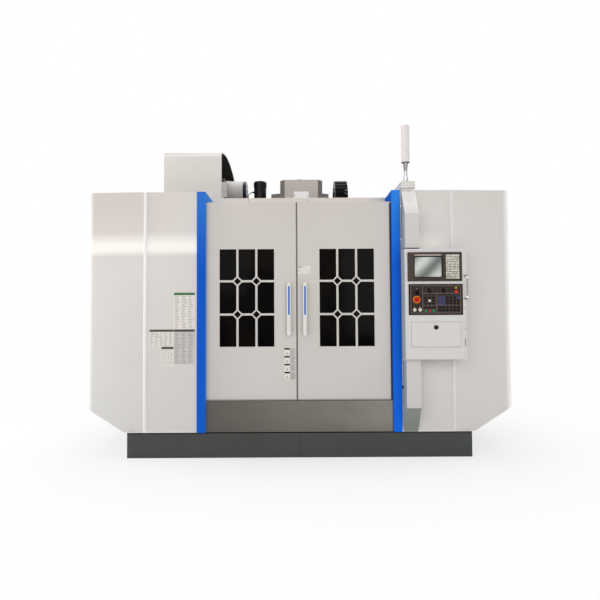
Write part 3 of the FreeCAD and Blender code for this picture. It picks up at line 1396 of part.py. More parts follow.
def electrical_cabinet():
    """Electrical cabinet on the column's back with a mounting plate inside, and its hinged door."""
    outer = block("cabinet_left", "cabinet_right", "column_back", "cabinet_back", "cabinet_bottom",
                  "cabinet_top")
    room = block("cabinet_left + cabinet_wall", "cabinet_right - cabinet_wall", "column_back + cabinet_wall",
                 "cabinet_back - cabinet_wall", "cabinet_bottom + cabinet_wall", "cabinet_top - cabinet_wall")
    mouth = block("cabinet_left + cabinet_lip", "cabinet_right - cabinet_lip",
                  "cabinet_back - cabinet_wall - 1", "cabinet_back + 1",
                  "cabinet_bottom + cabinet_lip", "cabinet_top - cabinet_lip")
    plate = block("cabinet_left + 3 * cabinet_lip", "cabinet_right - 3 * cabinet_lip",
                  "column_back + cabinet_wall", "column_back + cabinet_wall + cabinet_lip",
                  "cabinet_bottom + 3 * cabinet_lip", "cabinet_top - 3 * cabinet_lip")
    x, y = "cabinet_hinge_x", "cabinet_hinge_y"
    fixed = []
    swinging = []
    for low in ("cabinet_bottom + hinge_inset", "cabinet_top - hinge_inset - 2 * hinge_length"):
        middle = f"{low} + hinge_length"
        high = f"{middle} + hinge_length"
        fixed.append(rod("z", low, f"{middle} - running_gap", x, y, "hinge_radius"))
        fixed.append(block(f"{x} - hinge_radius / 2", "cabinet_left", f"{y} - hinge_strap - hinge_radius",
                           f"{y} - hinge_radius / 2", low, f"{middle} - running_gap"))
        swinging.append(rod("z", middle, high, x, y, "hinge_radius"))
        swinging.append(block(x, "cabinet_left", f"{y} - hinge_radius", y, middle, high))
    near = "cabinet_back + running_gap"
    sweep = block("cabinet_left - 5 * running_gap", "cabinet_left + 1", near, f"{y} + 1", "cabinet_bottom",
                  "cabinet_top")
    node("electrical_cabinet", joined(less(outer, room, mouth), plate, less(joined(*fixed), sweep)))
    door_pan = less(block("cabinet_left", "cabinet_right", near, y, "cabinet_bottom", "cabinet_top"),
                    block("cabinet_left + skin", "cabinet_right - skin", f"{near} - 1", f"{y} - skin",
                          "cabinet_bottom + skin", "cabinet_top - skin"))
    latch_z = "cabinet_bottom + cabinet_height / 2"
    latch = block("cabinet_right - latch_inset - latch_width", "cabinet_right - latch_inset", y,
                  f"{y} + cabinet_latch", f"{latch_z} - latch_height / 2", f"{latch_z} + latch_height / 2")
    node("cabinet_door", joined(door_pan, latch, *swinging))


def motor_cable():
    """Short cable from the changer motor down its left side to the cam box."""
    side = number("changer_x - changer_motor_radius")
    depth = number("front + changer_y")
    # each point is so far left of the motor and above the cam box
    route = [(0, 141), (30, 141), (53, 122), (60, 82), (43, 36), (43, 0)]
    points = [FreeCAD.Vector(side - left, depth, number("cam_box_top") + rise) for left, rise in route]
    turns = []
    for before, corner, after in zip(points, points[1:], points[2:]):
        runs = [(before - corner), (after - corner)]
        reach = 0.45 * min(run.Length for run in runs)
        start, end = [corner + run.normalize() * reach for run in runs]
        middle_out = (start + end) * 0.5 - corner
        half_turn = math.pi / 2 - middle_out.getAngle(start - corner)
        radius = reach / math.tan(half_turn)
        middle = corner + middle_out.normalize() * (radius / math.cos(half_turn) - radius)
        turns.append((start, middle, end))
        print(f"motor cable bend radius {radius:.1f} mm")
    edges = []
    last = points[0]
    for start, middle, end in turns:
        edges.append(Part.LineSegment(last, start).toShape())
        edges.append(Part.Arc(start, middle, end).toShape())
        last = end
    edges.append(Part.LineSegment(last, points[-1]).toShape())
    path = Part.Wire(edges)
    ring = Part.Wire(Part.makeCircle(number("cable_radius"), points[0], points[1] - points[0]))
    cable = doc.addObject("Part::Feature", "motor_cable")
    cable.Shape = path.makePipeShell([ring], True, False)
    expected = math.pi * number("cable_radius") ** 2 * path.Length
    print(f"motor cable volume {cable.Shape.Volume:.0f} mm3, section times length {expected:.0f} mm3")
    node("motor_cable", cable)


# ---------------------------------------------------------------- the machine

levelling_feet()
machine_bed()
column()
axis_motors()
ball_screws()
saddle()
work_table()
headstock()
spindle()
spindle_motor()
head_cover()
cable_chain()
chain_brackets()
tool_changer()
changer_arm()
magazine_disc()
change_pot()
magazine_carrier()
magazine_cover()
magazine_drive_motor()
wing_cover("left_wing_cover", "-")
wing_cover("right_wing_cover", "+")
pillar("left_pillar", "-")
pillar("right_pillar", "+")
door_header()
front_apron()
inner_guard("left_inner_guard", "-")
inner_guard("right_inner_guard", "+")
coolant_tank("coolant_tank_left", "-")
coolant_tank("coolant_tank_right", "+")
door("-", "left")
door("+", "right")
pendant_post()
pendant_box()
display_unit()
operator_panel()
controls()
tray_door()
pendant_handle()
signal_lamp()
electrical_cabinet()
motor_cable()
doc.recompute()

for item in doc.Objects:
    if "Invalid" in item.State or "Error" in item.State:
        raise RuntimeError(f"{item.Label} failed: {item.State}")
for piece in NODES:
    if piece.Shape.isNull() or not piece.Shape.isValid() or not piece.Shape.Solids:
        raise RuntimeError(f"{piece.Label} has no valid solid")
os.makedirs("parts", exist_ok=True)
for piece in NODES:
    piece.Shape.exportStep(f"parts/{piece.Label}.step")
print(f"{len(NODES)} sub-parts written")
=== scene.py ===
import math
import random
import bmesh
import bpy
from mathutils import Matrix, Vector

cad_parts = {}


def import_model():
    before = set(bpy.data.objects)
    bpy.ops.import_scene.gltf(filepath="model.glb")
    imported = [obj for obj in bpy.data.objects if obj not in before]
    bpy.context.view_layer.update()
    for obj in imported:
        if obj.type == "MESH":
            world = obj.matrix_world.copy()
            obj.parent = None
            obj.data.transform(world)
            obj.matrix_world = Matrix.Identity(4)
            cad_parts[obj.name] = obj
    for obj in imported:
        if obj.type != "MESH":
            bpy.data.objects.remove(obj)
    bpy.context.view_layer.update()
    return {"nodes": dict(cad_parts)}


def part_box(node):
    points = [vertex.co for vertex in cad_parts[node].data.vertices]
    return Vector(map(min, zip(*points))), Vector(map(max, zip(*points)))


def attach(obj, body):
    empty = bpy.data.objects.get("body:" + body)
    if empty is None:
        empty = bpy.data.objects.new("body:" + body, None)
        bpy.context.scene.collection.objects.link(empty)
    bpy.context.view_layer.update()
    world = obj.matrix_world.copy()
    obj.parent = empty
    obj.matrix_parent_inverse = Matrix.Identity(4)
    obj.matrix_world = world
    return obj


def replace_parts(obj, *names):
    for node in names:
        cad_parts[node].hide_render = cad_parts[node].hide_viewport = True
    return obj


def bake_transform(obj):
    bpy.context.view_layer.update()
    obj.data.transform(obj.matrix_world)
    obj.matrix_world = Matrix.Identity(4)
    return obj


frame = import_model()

SHARP = math.radians(35)      # an edge that turns by more than this is rounded
EVEN = (1.0, 1.0, 1.0)        # a texture that isn't stretched
AXES = {"X": (1, 2, 0), "Y": (0, 2, 1), "Z": (0, 1, 2)}     # the two coordinates across an axis, then its own


def low(name, axis):
    """The lowest coordinate of a CAD node along an axis."""
    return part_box(name)[0]["XYZ".index(axis)]


def high(name, axis):
    """The highest coordinate of a CAD node along an axis."""
    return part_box(name)[1]["XYZ".index(axis)]


def middle(name, axis):
    return (low(name, axis) + high(name, axis)) / 2


def span(name, axis, inset=0.0):
    """Both ends of a CAD node along an axis, moved inwards."""
    return (low(name, axis) + inset, high(name, axis) - inset)


def about(centre, half):
    """A range on both sides of a centre."""
    return (centre - half, centre + half)


def proud(face, rise, sink=0.0005):
    """The depth of something that stands out from a front face by a rise and is sunk into it a little."""
    return (face - rise, face + sink)


def arc(steps, turn=math.pi):
    """Angles from zero to a turn, with both ends."""
    return [turn * i / steps for i in range(steps + 1)]


def spot(axis, across, up, along):
    """A point from its two coordinates across an axis and the one along it."""
    point = [0.0, 0.0, 0.0]
    for index, value in zip(AXES[axis], (across, up, along)):
        point[index] = value
    return point


def link(item):
    """Put a new object into the scene."""
    bpy.context.scene.collection.objects.link(item)
    return item


class Piece:
    """One visible piece: shapes with rounded edges, each with its own material, in one mesh."""

    def __init__(self, name, body, slot="warm_white_sheet"):
        self.name = name
        self.body = body
        self.slot = slot
        self.mesh = bmesh.new()
        self.materials = []

    def paste(self, shape, material, edge, place=None):
        """Round a shape's sharp edges, place it and add it to the mesh."""
        bmesh.ops.recalc_face_normals(shape, faces=shape.faces)
        if edge:
            sharp = [line for line in shape.edges if line.calc_face_angle(0.0) > SHARP]
            bmesh.ops.bevel(shape, geom=sharp, offset=edge, segments=2, profile=0.5, affect="EDGES",
                            clamp_overlap=True)
        if place:
            bmesh.ops.transform(shape, matrix=place, verts=shape.verts)
        if material not in self.materials:
            self.materials.append(material)
        for face in shape.faces:
            face.material_index = self.materials.index(material)
            face.smooth = True
        part = bpy.data.meshes.new("part")
        shape.to_mesh(part)
        shape.free()
        self.mesh.from_mesh(part)
        bpy.data.meshes.remove(part)

    def loft(self, rings, material, edge, place=None):
        """A closed skin over rings of points, each with the same number of them."""
        shape = bmesh.new()
        rings = [[shape.verts.new(point) for point in ring] for ring in rings]
        for near, far in zip(rings, rings[1:]):
            for i in range(len(near)):
                after = (i + 1) % len(near)
                shape.faces.new((near[i], near[after], far[after], far[i]))
        shape.faces.new(rings[0])
        shape.faces.new(rings[-1])
        self.paste(shape, material, edge, place)

    def prism(self, axis, outline, ends, material, edge=0.0006, place=None):
        """An outline pushed along an axis between two ends."""
        self.loft([[spot(axis, a, b, level) for a, b in outline] for level in ends], material, edge, place)

    def block(self, x, y, z, material, edge=0.0006, place=None):
        """A box between two limits along each axis."""
        outline = [(x[0], z[0]), (x[1], z[0]), (x[1], z[1]), (x[0], z[1])]
        self.prism("Y", outline, y, material, edge, place)

    def lathe(self, axis, centre, profile, material, steps=32, edge=0.0, place=None):
        """A turned shape: its profile's points are a radius and a distance along the axis from the centre."""
        across, up, along = (centre[index] for index in AXES[axis])
        turns = arc(steps, 2 * math.pi)[:-1]
        self.loft([[spot(axis, across + radius * math.cos(t), up + radius * math.sin(t), along + level)
                    for t in turns] for radius, level in profile], material, edge, place)

    def frame(self, x, y, z, width, material, edge=0.0003):
        """Four flat strips round a rectangle that faces along Y."""
        for level in ((z[0], z[0] + width), (z[1] - width, z[1])):
            self.block(x, y, level, material, edge)
        for side in ((x[0], x[0] + width), (x[1] - width, x[1])):
            self.block(side, y, (z[0] + width, z[1] - width), material, edge)

    def screw(self, centre, radius, out, material):
        """A low round screw head on a front face."""
        self.lathe("Y", centre, [(radius, 0), (radius, -out * 0.6), (radius * 0.75, -out)], material, 16)

    def done(self):
        """Make the object, which rides on its body."""
        data = bpy.data.meshes.new(self.name)
        self.mesh.to_mesh(data)
        self.mesh.free()
        for material in self.materials:
            data.materials.append(material)
        data.set_sharp_from_angle(angle=math.radians(50))
        item = link(bpy.data.objects.new(self.name, data))
        item.modifiers.new("normals", "WEIGHTED_NORMAL").keep_sharp = True
        if self.body:
            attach(item, self.body)
        return item


# ---------------------------------------------------------------- nodes of a material

def srgb(colour):
    """A colour written in the 0 to 255 numbers of a picture, as linear light."""
    shares = [v / 255 for v in colour]
    return tuple(v / 12.92 if v <= 0.04045 else ((v + 0.055) / 1.055) ** 2.4 for v in shares)


class Nodes:
    """The nodes of a material or of the world."""

    def __init__(self, tree):
        self.tree = tree

    def node(self, kind, **settings):
        made = self.tree.nodes.new(kind)
        for key, value in settings.items():
            if key in made.inputs:
                made.inputs[key].default_value = value
            else:
                setattr(made, key, value)
        return made

    def join(self, source, target):
        self.tree.links.new(source, target)

    def math(self, operation, first, second=None):
        """One sum on two numbers, either of which may be the output of a node."""
        made = self.node("ShaderNodeMath", operation=operation)
        for socket, value in zip(made.inputs, (first, second)):
            if isinstance(value, (int, float)):
                socket.default_value = value
            elif value is not None:
                self.join(value, socket)
        return made.outputs["Value"]

    def both(self, first, second):
        """The product of two factors."""
        return self.math("MULTIPLY", first, second)

    def blend(self, factor, first, second):
        """One shader over another by a factor."""
        made = self.node("ShaderNodeMixShader")
        for socket, source in zip(made.inputs, (factor, first, second)):
            self.join(source, socket)
        return made.outputs["Shader"]


class Recipe(Nodes):
    """A material in the making: a principled shader and the nodes that feed it."""

    def __init__(self, name, colour, roughness=0.5, metallic=0.0, specular=0.5, coat=0.0, coat_roughness=0.1):
        self.material = bpy.data.materials.new(name)
        self.material.use_nodes = True
        super().__init__(self.material.node_tree)
        self.shader = self.tree.nodes["Principled BSDF"]
        self.place = self.node("ShaderNodeTexCoord")
        self.light = srgb(colour)
        self.set("Base Color", (*self.light, 1.0))
        self.set("Roughness", roughness)
        self.set("Metallic", metallic)
        self.set("Specular IOR Level", specular)
        self.set("Coat Weight", coat)
        self.set("Coat Roughness", coat_roughness)

    def set(self, socket, value):
        self.shader.inputs[socket].default_value = value

    def coordinates(self, stretch=EVEN):
        """Object coordinates, stretched along each axis."""
        mapping = self.node("ShaderNodeMapping", Scale=stretch)
        self.join(self.place.outputs["Object"], mapping.inputs["Vector"])
        return mapping.outputs["Vector"]

    def position(self):
        """The three object coordinates, in metres."""
        split = self.node("ShaderNodeSeparateXYZ")
        self.join(self.coordinates(), split.inputs["Vector"])
        return [split.outputs[axis] for axis in "XYZ"]

    def along(self, axis):
        """The position along one axis, in metres."""
        return self.position()["XYZ".index(axis)]

    def off(self, axis, centre):
        """The distance from a centre along one axis."""
        return self.math("ABSOLUTE", self.math("SUBTRACT", self.along(axis), centre))

    def noise(self, scale, detail=3.0, stretch=EVEN):
        made = self.node("ShaderNodeTexNoise", Scale=scale, Detail=detail, Roughness=0.55)
        self.join(self.coordinates(stretch), made.inputs["Vector"])
        return made.outputs["Fac"]

    def ramp(self, source, low, high, start=0.0, end=1.0):
        """A number that runs from one value to another as its source does."""
        made = self.node("ShaderNodeMapRange")
        for key, value in (("From Min", low), ("From Max", high), ("To Min", start), ("To Max", end)):
            made.inputs[key].default_value = value
        self.join(source, made.inputs["Value"])
        return made.outputs["Result"]

    def clouds(self, scale, detail, low, high, share, stretch=EVEN):
        """Noise as a factor between nothing and a share."""
        return self.ramp(self.noise(scale, detail, stretch), low, high, 0.0, share)

    def mix(self, factor, light):
        """Mix linear light into the base colour by a factor."""
        made = self.node("ShaderNodeMix", data_type="RGBA")
        self.join(factor, made.inputs["Factor"])
        base = self.shader.inputs["Base Color"]
        if base.is_linked:
            self.join(base.links[0].from_socket, made.inputs["A"])
        else:
            made.inputs["A"].default_value = (*self.light, 1.0)
        made.inputs["B"].default_value = (*light, 1.0)
        self.join(made.outputs["Result"], base)

    def tint(self, factor, colour):
        """Mix another colour into the base colour by a factor."""
        self.mix(factor, srgb(colour))

    def shade(self, factor, share):
        """Mix in a share of the material's own colour by a factor."""
        self.mix(factor, [v * share for v in self.light])

    def band(self, axis, start, end, colour):
        """Change to another colour between two places along an axis."""
        self.tint(self.ramp(self.along(axis), start, end), colour)

    def rough(self, source, smooth, dull):
        self.join(self.ramp(source, 0.3, 0.7, smooth, dull), self.shader.inputs["Roughness"])

    def bump(self, source, strength, distance):
        made = self.node("ShaderNodeBump", Strength=strength, Distance=distance)
        normal = self.shader.inputs["Normal"]
        if normal.is_linked:
            self.join(normal.links[0].from_socket, made.inputs["Normal"])
        self.join(source, made.inputs["Height"])
        self.join(made.outputs["Normal"], normal)


def enamelled(name, colour, roughness=0.42, coat=0.12, specular=0.5, low_colour=None):
    """Enamel on sheet steel: orange peel, soft clouds of tone and, where it has one, another tone low down."""
    made = Recipe(name, colour, roughness, specular=specular, coat=coat, coat_roughness=0.3)
    if low_colour:
        made.band("Z", 2.0, 0.5, low_colour)
    made.shade(made.clouds(1.6, 2.0, 0.35, 0.75, 0.5), 0.93)
    made.shade(made.clouds(46.0, 4.0, 0.6, 0.9, 0.3), 0.85)
    made.rough(made.noise(9.0), roughness - 0.05, roughness + 0.07)
    made.bump(made.noise(260.0, 2.0), 0.06, 0.0006)
    return made


def powder_coat(*recipe):
    """Plain enamelled sheet steel."""
    return enamelled(*recipe).material


def cast_paint(name, colour, roughness=0.5):
    """Thick paint on a rough casting."""
    made = Recipe(name, colour, roughness)
    made.shade(made.clouds(5.0, 4.0, 0.4, 0.8, 0.5), 0.75)
    made.rough(made.noise(30.0), roughness - 0.08, roughness + 0.1)
    made.bump(made.noise(90.0, 5.0), 0.25, 0.0015)
    return made.material


def ground_steel(name, colour, stretch, roughness=0.3, scale=120.0):
    """Machined or brushed metal, with its fine marks drawn out along one direction."""
    made = Recipe(name, colour, roughness, metallic=1.0)
    marks = made.noise(scale, 4.0, stretch)
    made.shade(made.ramp(marks, 0.35, 0.7, 0.0, 0.6), 0.7)
    made.rough(marks, roughness - 0.08, roughness + 0.12)
    made.bump(marks, 0.12, 0.0004)
    return made.material


def moulded(name, colour, roughness=0.45, grain=700.0, strength=0.12, specular=0.4, mottle=0.8):
    """Moulded plastic or rubber with a fine grain."""
    made = Recipe(name, colour, roughness, specular=specular)
    made.shade(made.clouds(40.0, 3.0, 0.4, 0.8, 0.35), mottle)
    made.rough(made.noise(60.0), roughness - 0.06, roughness + 0.06)
    made.bump(made.noise(grain, 2.0), strength, 0.0003)
    return made.material


def key_cap(name, colour, specular=0.15):
    """A smooth moulded key."""
    return moulded(name, colour, 0.4, 900.0, 0.05, specular)


def printed(name, colour, specular=0.2):
    """Dull print on the pendant's plates."""
    return moulded(name, colour, 0.6, 900.0, 0.03, specular)


def head_cover_paint_painted_shade():
    """The head cover's paint, with painted shade on its folded flanks."""
    made = enamelled("head_cover_paint_painted_shade", (192, 183, 177), 0.45, 0.05, 0.4)
    # painted shade: the folded flanks darker than the front
    made.tint(made.ramp(made.off("X", 0.027), 0.148, 0.151), (108, 103, 98))
    return made.material


def magazine_paint_painted_highlight():
    """The magazine cover's paint, with a painted highlight where its top edge rolls over and darker above that."""
    made = enamelled("magazine_paint_painted_highlight", (220, 215, 209), 0.42, 0.1)
    # painted highlight on the rolled top edge
    made.band("Z", 2.582, 2.592, (238, 233, 229))
    made.band("Z", 2.600, 2.616, (168, 164, 160))
    return made.material


def blue_paint(name, colour, low_colour, painted_top_highlight, painted_inner_lighting):
    """Blue enamel with a painted highlight towards its top and painted light and shade on the face that looks at the
    doors.
    """
    made = enamelled(name, colour, 0.5, 0.0, 0.0, low_colour)
    # painted highlight towards the top
    made.band("Z", 1.45, 2.0, painted_top_highlight)
    # painted light and shade on the inner face, which looks at the doors: lighter on the left pillar, darker on the
    # right
    made.tint(made.ramp(made.off("X", 0.0), 0.7212, 0.7203), painted_inner_lighting)
    return made.material


def post_paint_painted_light():
    """The post's faces, with painted light and shade: pale above the upper fold, paler still at the top, grey-green
    below the lower fold.
    """
    made = enamelled("post_paint_painted_light", (195, 191, 187), 0.45, 0.05)
    # painted light on the slanted face above the upper fold, darker towards the fold
    made.band("Z", 1.851, 1.857, (236, 232, 229))
    painted_light_above_fold = made.both(made.ramp(made.along("Z"), 1.940, 1.865), made.ramp(made.along("Z"), 1.851, 1.857))
    made.tint(painted_light_above_fold, (213, 209, 206))
    # painted light against the shadow under the lamp's stand
    made.band("Z", 2.025, 2.040, (246, 242, 239))
    # painted shade on the lower facet, which faces the floor
    made.band("Z", 0.396, 0.390, (130, 134, 129))
    return made.material


def bar_paint():
    """The pendant handle's paint: a grey bar between two pale arms."""
    made = enamelled("bar_paint", (236, 232, 228), 0.4, 0.1)
    reach = (high("pendant_handle", "Z") - low("pendant_handle", "Z")) / 2
    off = made.off("Z", middle("pendant_handle", "Z"))
    made.tint(made.ramp(off, reach - 0.027, reach - 0.025, 1.0, 0.0), (150, 142, 138))
    made.tint(made.ramp(off, reach - 0.011, reach - 0.009), (150, 142, 138))
    return made.material


def wing_paint():
    """Panel paint with painted highlights on its rounded outer corners and painted light above the pendant, whose two
    flanks carry a service panel's seam and pressed louvres with painted shade in their slots.
    """
    made = enamelled("wing_paint", PANEL_TONE, 0.42, 0.12, 0.5, PANEL_LOW)
    x, y, z = made.position()
    across = made.math("ABSOLUTE", x)

    def outside(y_middle, y_half, z_middle, z_half):
        """How far a point lies outside a rectangle of the flank: negative within it."""
        gaps = [made.math("SUBTRACT", made.math("ABSOLUTE", made.math("SUBTRACT", place, centre)), half)
                for place, centre, half in ((y, y_middle, y_half), (z, z_middle, z_half))]
        return made.math("MAXIMUM", *gaps)

    made.tint(made.both(made.ramp(z, 1.45, 1.95), made.ramp(x, -0.75, -1.25)), (196, 187, 182))
    # painted highlight on the rounded outer corners
    made.tint(made.both(made.ramp(across, 1.604, 1.645), made.ramp(y, CORNER_END, CORNER_END - 0.006)),
              (231, 230, 229))
    # painted light over the shade beside the post, above the pendant
    painted_light_above_pendant = made.both(made.ramp(z, 1.74, 1.64), made.ramp(z, 1.55, 1.60))
    made.tint(made.both(painted_light_above_pendant, made.ramp(x, 1.24, 0.95)), (236, 231, 225))
    seam = made.ramp(made.math("ABSOLUTE", outside(-0.36, 0.52, 1.17, 0.66)), 0.0015, 0.0025, 1.0, 0.0)
    bank = made.ramp(outside(-0.36, 0.16, 0.78, 0.15), 0.0, 0.001, 1.0, 0.0)
    wave = made.math("FRACT", made.both(z, 1 / LOUVRE_PITCH))
    slot = made.both(bank, made.ramp(wave, 0.0, 0.45, 1.0, 0.0))
    marks = made.both(made.ramp(across, 1.6675, 1.668), made.math("MAXIMUM", seam, slot))
    # dark line of the seam, and painted shade in the louvres' slots
    made.tint(made.ramp(marks, 0.0, 1.0, 0.0, 0.75), (70, 68, 66))
    made.bump(made.ramp(marks, 0.0, 1.0, 1.0, 0.0), 0.6, 0.004)
    return made.material


def brushed_apron():
    """Brushed stainless sheet: fine marks along it, painted shade to the left and painted light to the right, and
    darker low down.
    """
    made = Recipe("brushed_apron", (108, 104, 98), 0.42, metallic=0.55, specular=0.3)
    marks = made.noise(34.0, 5.0, (1.0, 30.0, 34.0))
    # painted light to the right and painted shade to the left
    made.band("X", -0.25, 0.75, (138, 133, 124))
    made.band("X", -0.2, -0.8, (83, 81, 76))
    made.tint(made.ramp(made.along("Z"), 0.3, 0.19, 0.0, 0.35), (78, 76, 72))
    made.tint(made.clouds(2.4, 2.0, 0.4, 0.75, 0.5, (1.0, 1.0, 2.0)), (98, 94, 88))
    made.tint(made.ramp(marks, 0.35, 0.75, 0.0, 0.55), (96, 92, 86))
    made.rough(marks, 0.34, 0.52)
    made.bump(marks, 0.12, 0.0005)
    return made.material


def screen_glass():
    """A lit grey display: pale streaks run across it from corner to corner."""
    made = Recipe("screen_glass", (104, 112, 107), 0.25, specular=0.1)
    x, _, z = made.position()
    lean = made.both(made.math("SUBTRACT", x, z), 28.3)
    wave = made.math("SINE", made.math("ADD", lean, 4.965))
    made.tint(made.ramp(wave, -1.0, 1.0, 0.0, 0.9), (204, 209, 204))
    made.tint(made.clouds(9.0, 2.0, 0.45, 0.8, 0.3, (1.0, 1.0, 2.0)), (96, 101, 99))
    made.bump(made.noise(500.0), 0.02, 0.0002)
    return made.material


def lit_lens(name, colour, glow):
    """A small coloured lens with a lamp behind it."""
    made = Recipe(name, colour, 0.25, specular=0.1)
    made.mix(made.clouds(160.0, 3.0, 0.4, 0.7, 0.5), [min(1.0, v * 1.4 + 0.02) for v in made.light])
    made.set("Emission Color", (*made.light, 1.0))
    made.set("Emission Strength", glow)
    made.bump(made.noise(900.0), 0.05, 0.0002)
    return made.material


def tinted_glass():
    """Dark tinted polycarbonate: nearly black, with faint warm clouds of painted reflection."""
    made = Recipe("tinted_glass", (6, 5, 5), 0.08, specular=0.03)
    made.rough(made.noise(3.0), 0.06, 0.12)
    # painted reflection: faint warm clouds
    made.tint(made.clouds(2.6, 2.0, 0.5, 0.8, 0.8), (27, 20, 17))
    made.bump(made.noise(6.0, 1.0), 0.02, 0.002)
    made.set("Alpha", 0.97)
    return made.material


CORNER_END = -0.984           # where a wing's rounded corner meets its flank
LOUVRE_PITCH = 0.03
PANEL_TONE, PANEL_LOW = (206, 200, 195), (202, 200, 197)
PANEL = powder_coat("panel_paint", PANEL_TONE, 0.42, 0.12, 0.5, PANEL_LOW)
WING = wing_paint()
DOOR = powder_coat("door_paint", (195, 188, 182), 0.42, 0.12, 0.5, (198, 194, 189))
DRIP = powder_coat("drip_edge_paint", (158, 154, 149), 0.5, 0.0, 0.2)
HEADER = powder_coat("header_paint", (212, 205, 199))
MAGAZINE = magazine_paint_painted_highlight()
PENDANT = powder_coat("pendant_paint", (201, 198, 196))
COVER = head_cover_paint_painted_shade()
POST = post_paint_painted_light()
BLUE = blue_paint("blue_paint", (25, 82, 190), (22, 94, 198), (50, 112, 200), (68, 134, 212))
# a lighter copy of the blue paint for the right pillar: painted light against the shade of the pendant and its post
BLUE_RIGHT_PAINTED_LIGHT = blue_paint("right_blue_paint_painted_light", (26, 100, 220), (26, 102, 220), (48, 128, 222), (36, 92, 192))
DARK = powder_coat("plinth_paint", (73, 76, 73), 0.6, 0.0, 0.2, (66, 69, 66))
# pale paint, which on the wings' fold beads and foot lips is painted highlight, and under the lamp's stand painted
# light
WHITE = powder_coat("white_paint", (224, 222, 219), 0.35, 0.3)
# a dimmer copy of the white paint for the right wing's fold bead: painted highlight, shaded darker than the left
# one's
WHITE_DIMMER_HIGHLIGHT = powder_coat("white_paint_dimmer_highlight", (214, 211, 207), 0.4, 0.2)
BARE = powder_coat("blank_plate", (250, 249, 247), 0.35, 0.2)
INNER = powder_coat("inner_paint", (150, 152, 150), 0.5, 0.0)
GREY = powder_coat("grey_paint", (120, 122, 118), 0.5, 0.0, 0.2)
# grey-blue painted shade for flanks that face left
FLANK_SHADE = powder_coat("flank_painted_shade", (154, 162, 167), 0.5, 0.0, 0.2)
MOTOR = powder_coat("motor_paint", (16, 12, 11), 0.3, 0.0, 0.14)
ALLOY = powder_coat("motor_alloy", (196, 192, 189), 0.6, 0.0, 0.3)
END_RING = powder_coat("end_ring_paint", (20, 26, 44), 0.35, 0.0, 0.2)
TUBE_BLUE = powder_coat("conduit_paint", (190, 200, 204), 0.4, 0.1)
GRIP = powder_coat("handle_paint", (216, 214, 210), 0.4, 0.1)
BAR = bar_paint()
CAST = cast_paint("casting_paint", (168, 172, 168))
PLATE = cast_paint("carrier_paint", (184, 181, 177))
APRON = brushed_apron()
STEEL = ground_steel("ground_steel", (158, 158, 156), (1.0, 12.0, 12.0))
BRIGHT = ground_steel("bright_steel", (205, 205, 204), (12.0, 12.0, 1.0), 0.2)
CHROME = ground_steel("chrome", (184, 183, 186), (2.0, 2.0, 14.0), 0.12, 30.0)
SMOKED = ground_steel("smoked_chrome", (124, 118, 121), (2.0, 2.0, 14.0), 0.1, 30.0)
SCREEN = screen_glass()
GLASS = tinted_glass()
LENS_RED = lit_lens("lens_red", (206, 30, 4), 0.3)
BEZEL = moulded("bezel_plastic", (66, 56, 50), 0.6, specular=0.2)
OVERLAY = moulded("panel_overlay", (48, 38, 35), 0.6, 900.0, 0.06, 0.15)
RIM = moulded("rim_plastic", (18, 13, 12), 0.6, specular=0.1)
BLACK = moulded("black_plastic", (10, 9, 9), 0.45, specular=0.12)
RUBBER = moulded("black_rubber", (30, 30, 30), 0.7, 300.0, 0.3)
CABLE = moulded("cable_rubber", (9, 9, 9), 0.5, 400.0, 0.15, 0.2)
# dark sheet that stands for painted shade inside the magazine's open cover
SHADE_LINING = moulded("magazine_shade_lining", (44, 41, 37), 0.7, 200.0, 0.1)
LAMP = moulded("lamp_white", (222, 215, 212), 0.5, 500.0, 0.02, 0.2, 0.96)
LAMP_SEAM = moulded("lamp_seam", (216, 210, 207), 0.5, 500.0, 0.02, 0.2, 0.96)
IVORY = moulded("ivory_plastic", (200, 190, 174), 0.4, 500.0, 0.05)
INLAY = moulded("inlay_blue", (40, 102, 178), 0.5, 500.0, 0.05, 0.1)
RED = moulded("stop_red", (168, 18, 10), 0.35, 500.0, 0.05, 0.12)
AMBER = moulded("stop_ring_amber", (216, 120, 10), 0.4, 500.0, 0.05, 0.15)
YELLOW = moulded("yellow_mark", (170, 146, 30), 0.4, 500.0, 0.05, 0.15)
KEY = moulded("key_black", (8, 6, 6), 0.5, 900.0, 0.05, 0.06)
KEY_BLUE = key_cap("key_blue", (10, 58, 150))
KEY_RED = key_cap("key_red", (196, 26, 24))
KEY_GREEN = key_cap("key_green", (4, 140, 84))
KEY_PALE = key_cap("key_pale", (216, 216, 205), 0.4)
KEY_MOSS = key_cap("key_moss", (182, 188, 171), 0.4)
KEY_ROSE = key_cap("key_rose", (196, 180, 170), 0.4)
LINE = printed("panel_line", (128, 114, 108))
PAD_BED = printed("keypad_bed", (128, 108, 100))
KEYBED = printed("key_bed", (70, 59, 55), 0.15)
SKIRT = printed("knob_skirt", (66, 55, 51), 0.15)
KEY_MARK = printed("key_mark", (92, 84, 80), 0.1)
MARK = moulded("light_mark", (206, 202, 196), 0.5, 900.0, 0.03)
STRIP = moulded("name_strip", (166, 156, 148), 0.5, 900.0, 0.03, 0.2)
PRINT_DARK = moulded("print_dark", (52, 60, 46), 0.6, 300.0, 0.03)
PRINT_GREEN = moulded("print_green", (40, 104, 52), 0.5, 300.0, 0.03)
PRINT_MOSS = moulded("print_moss", (126, 136, 112), 0.6, 300.0, 0.03)
PRINT_GREY = moulded("print_grey", (134, 129, 124), 0.6, 300.0, 0.03)
PAPER = moulded("sheet_paper", (217, 211, 205), 0.6, 60.0, 0.05)
FILM = moulded("sheet_film", (190, 187, 182), 0.5, 60.0, 0.05)

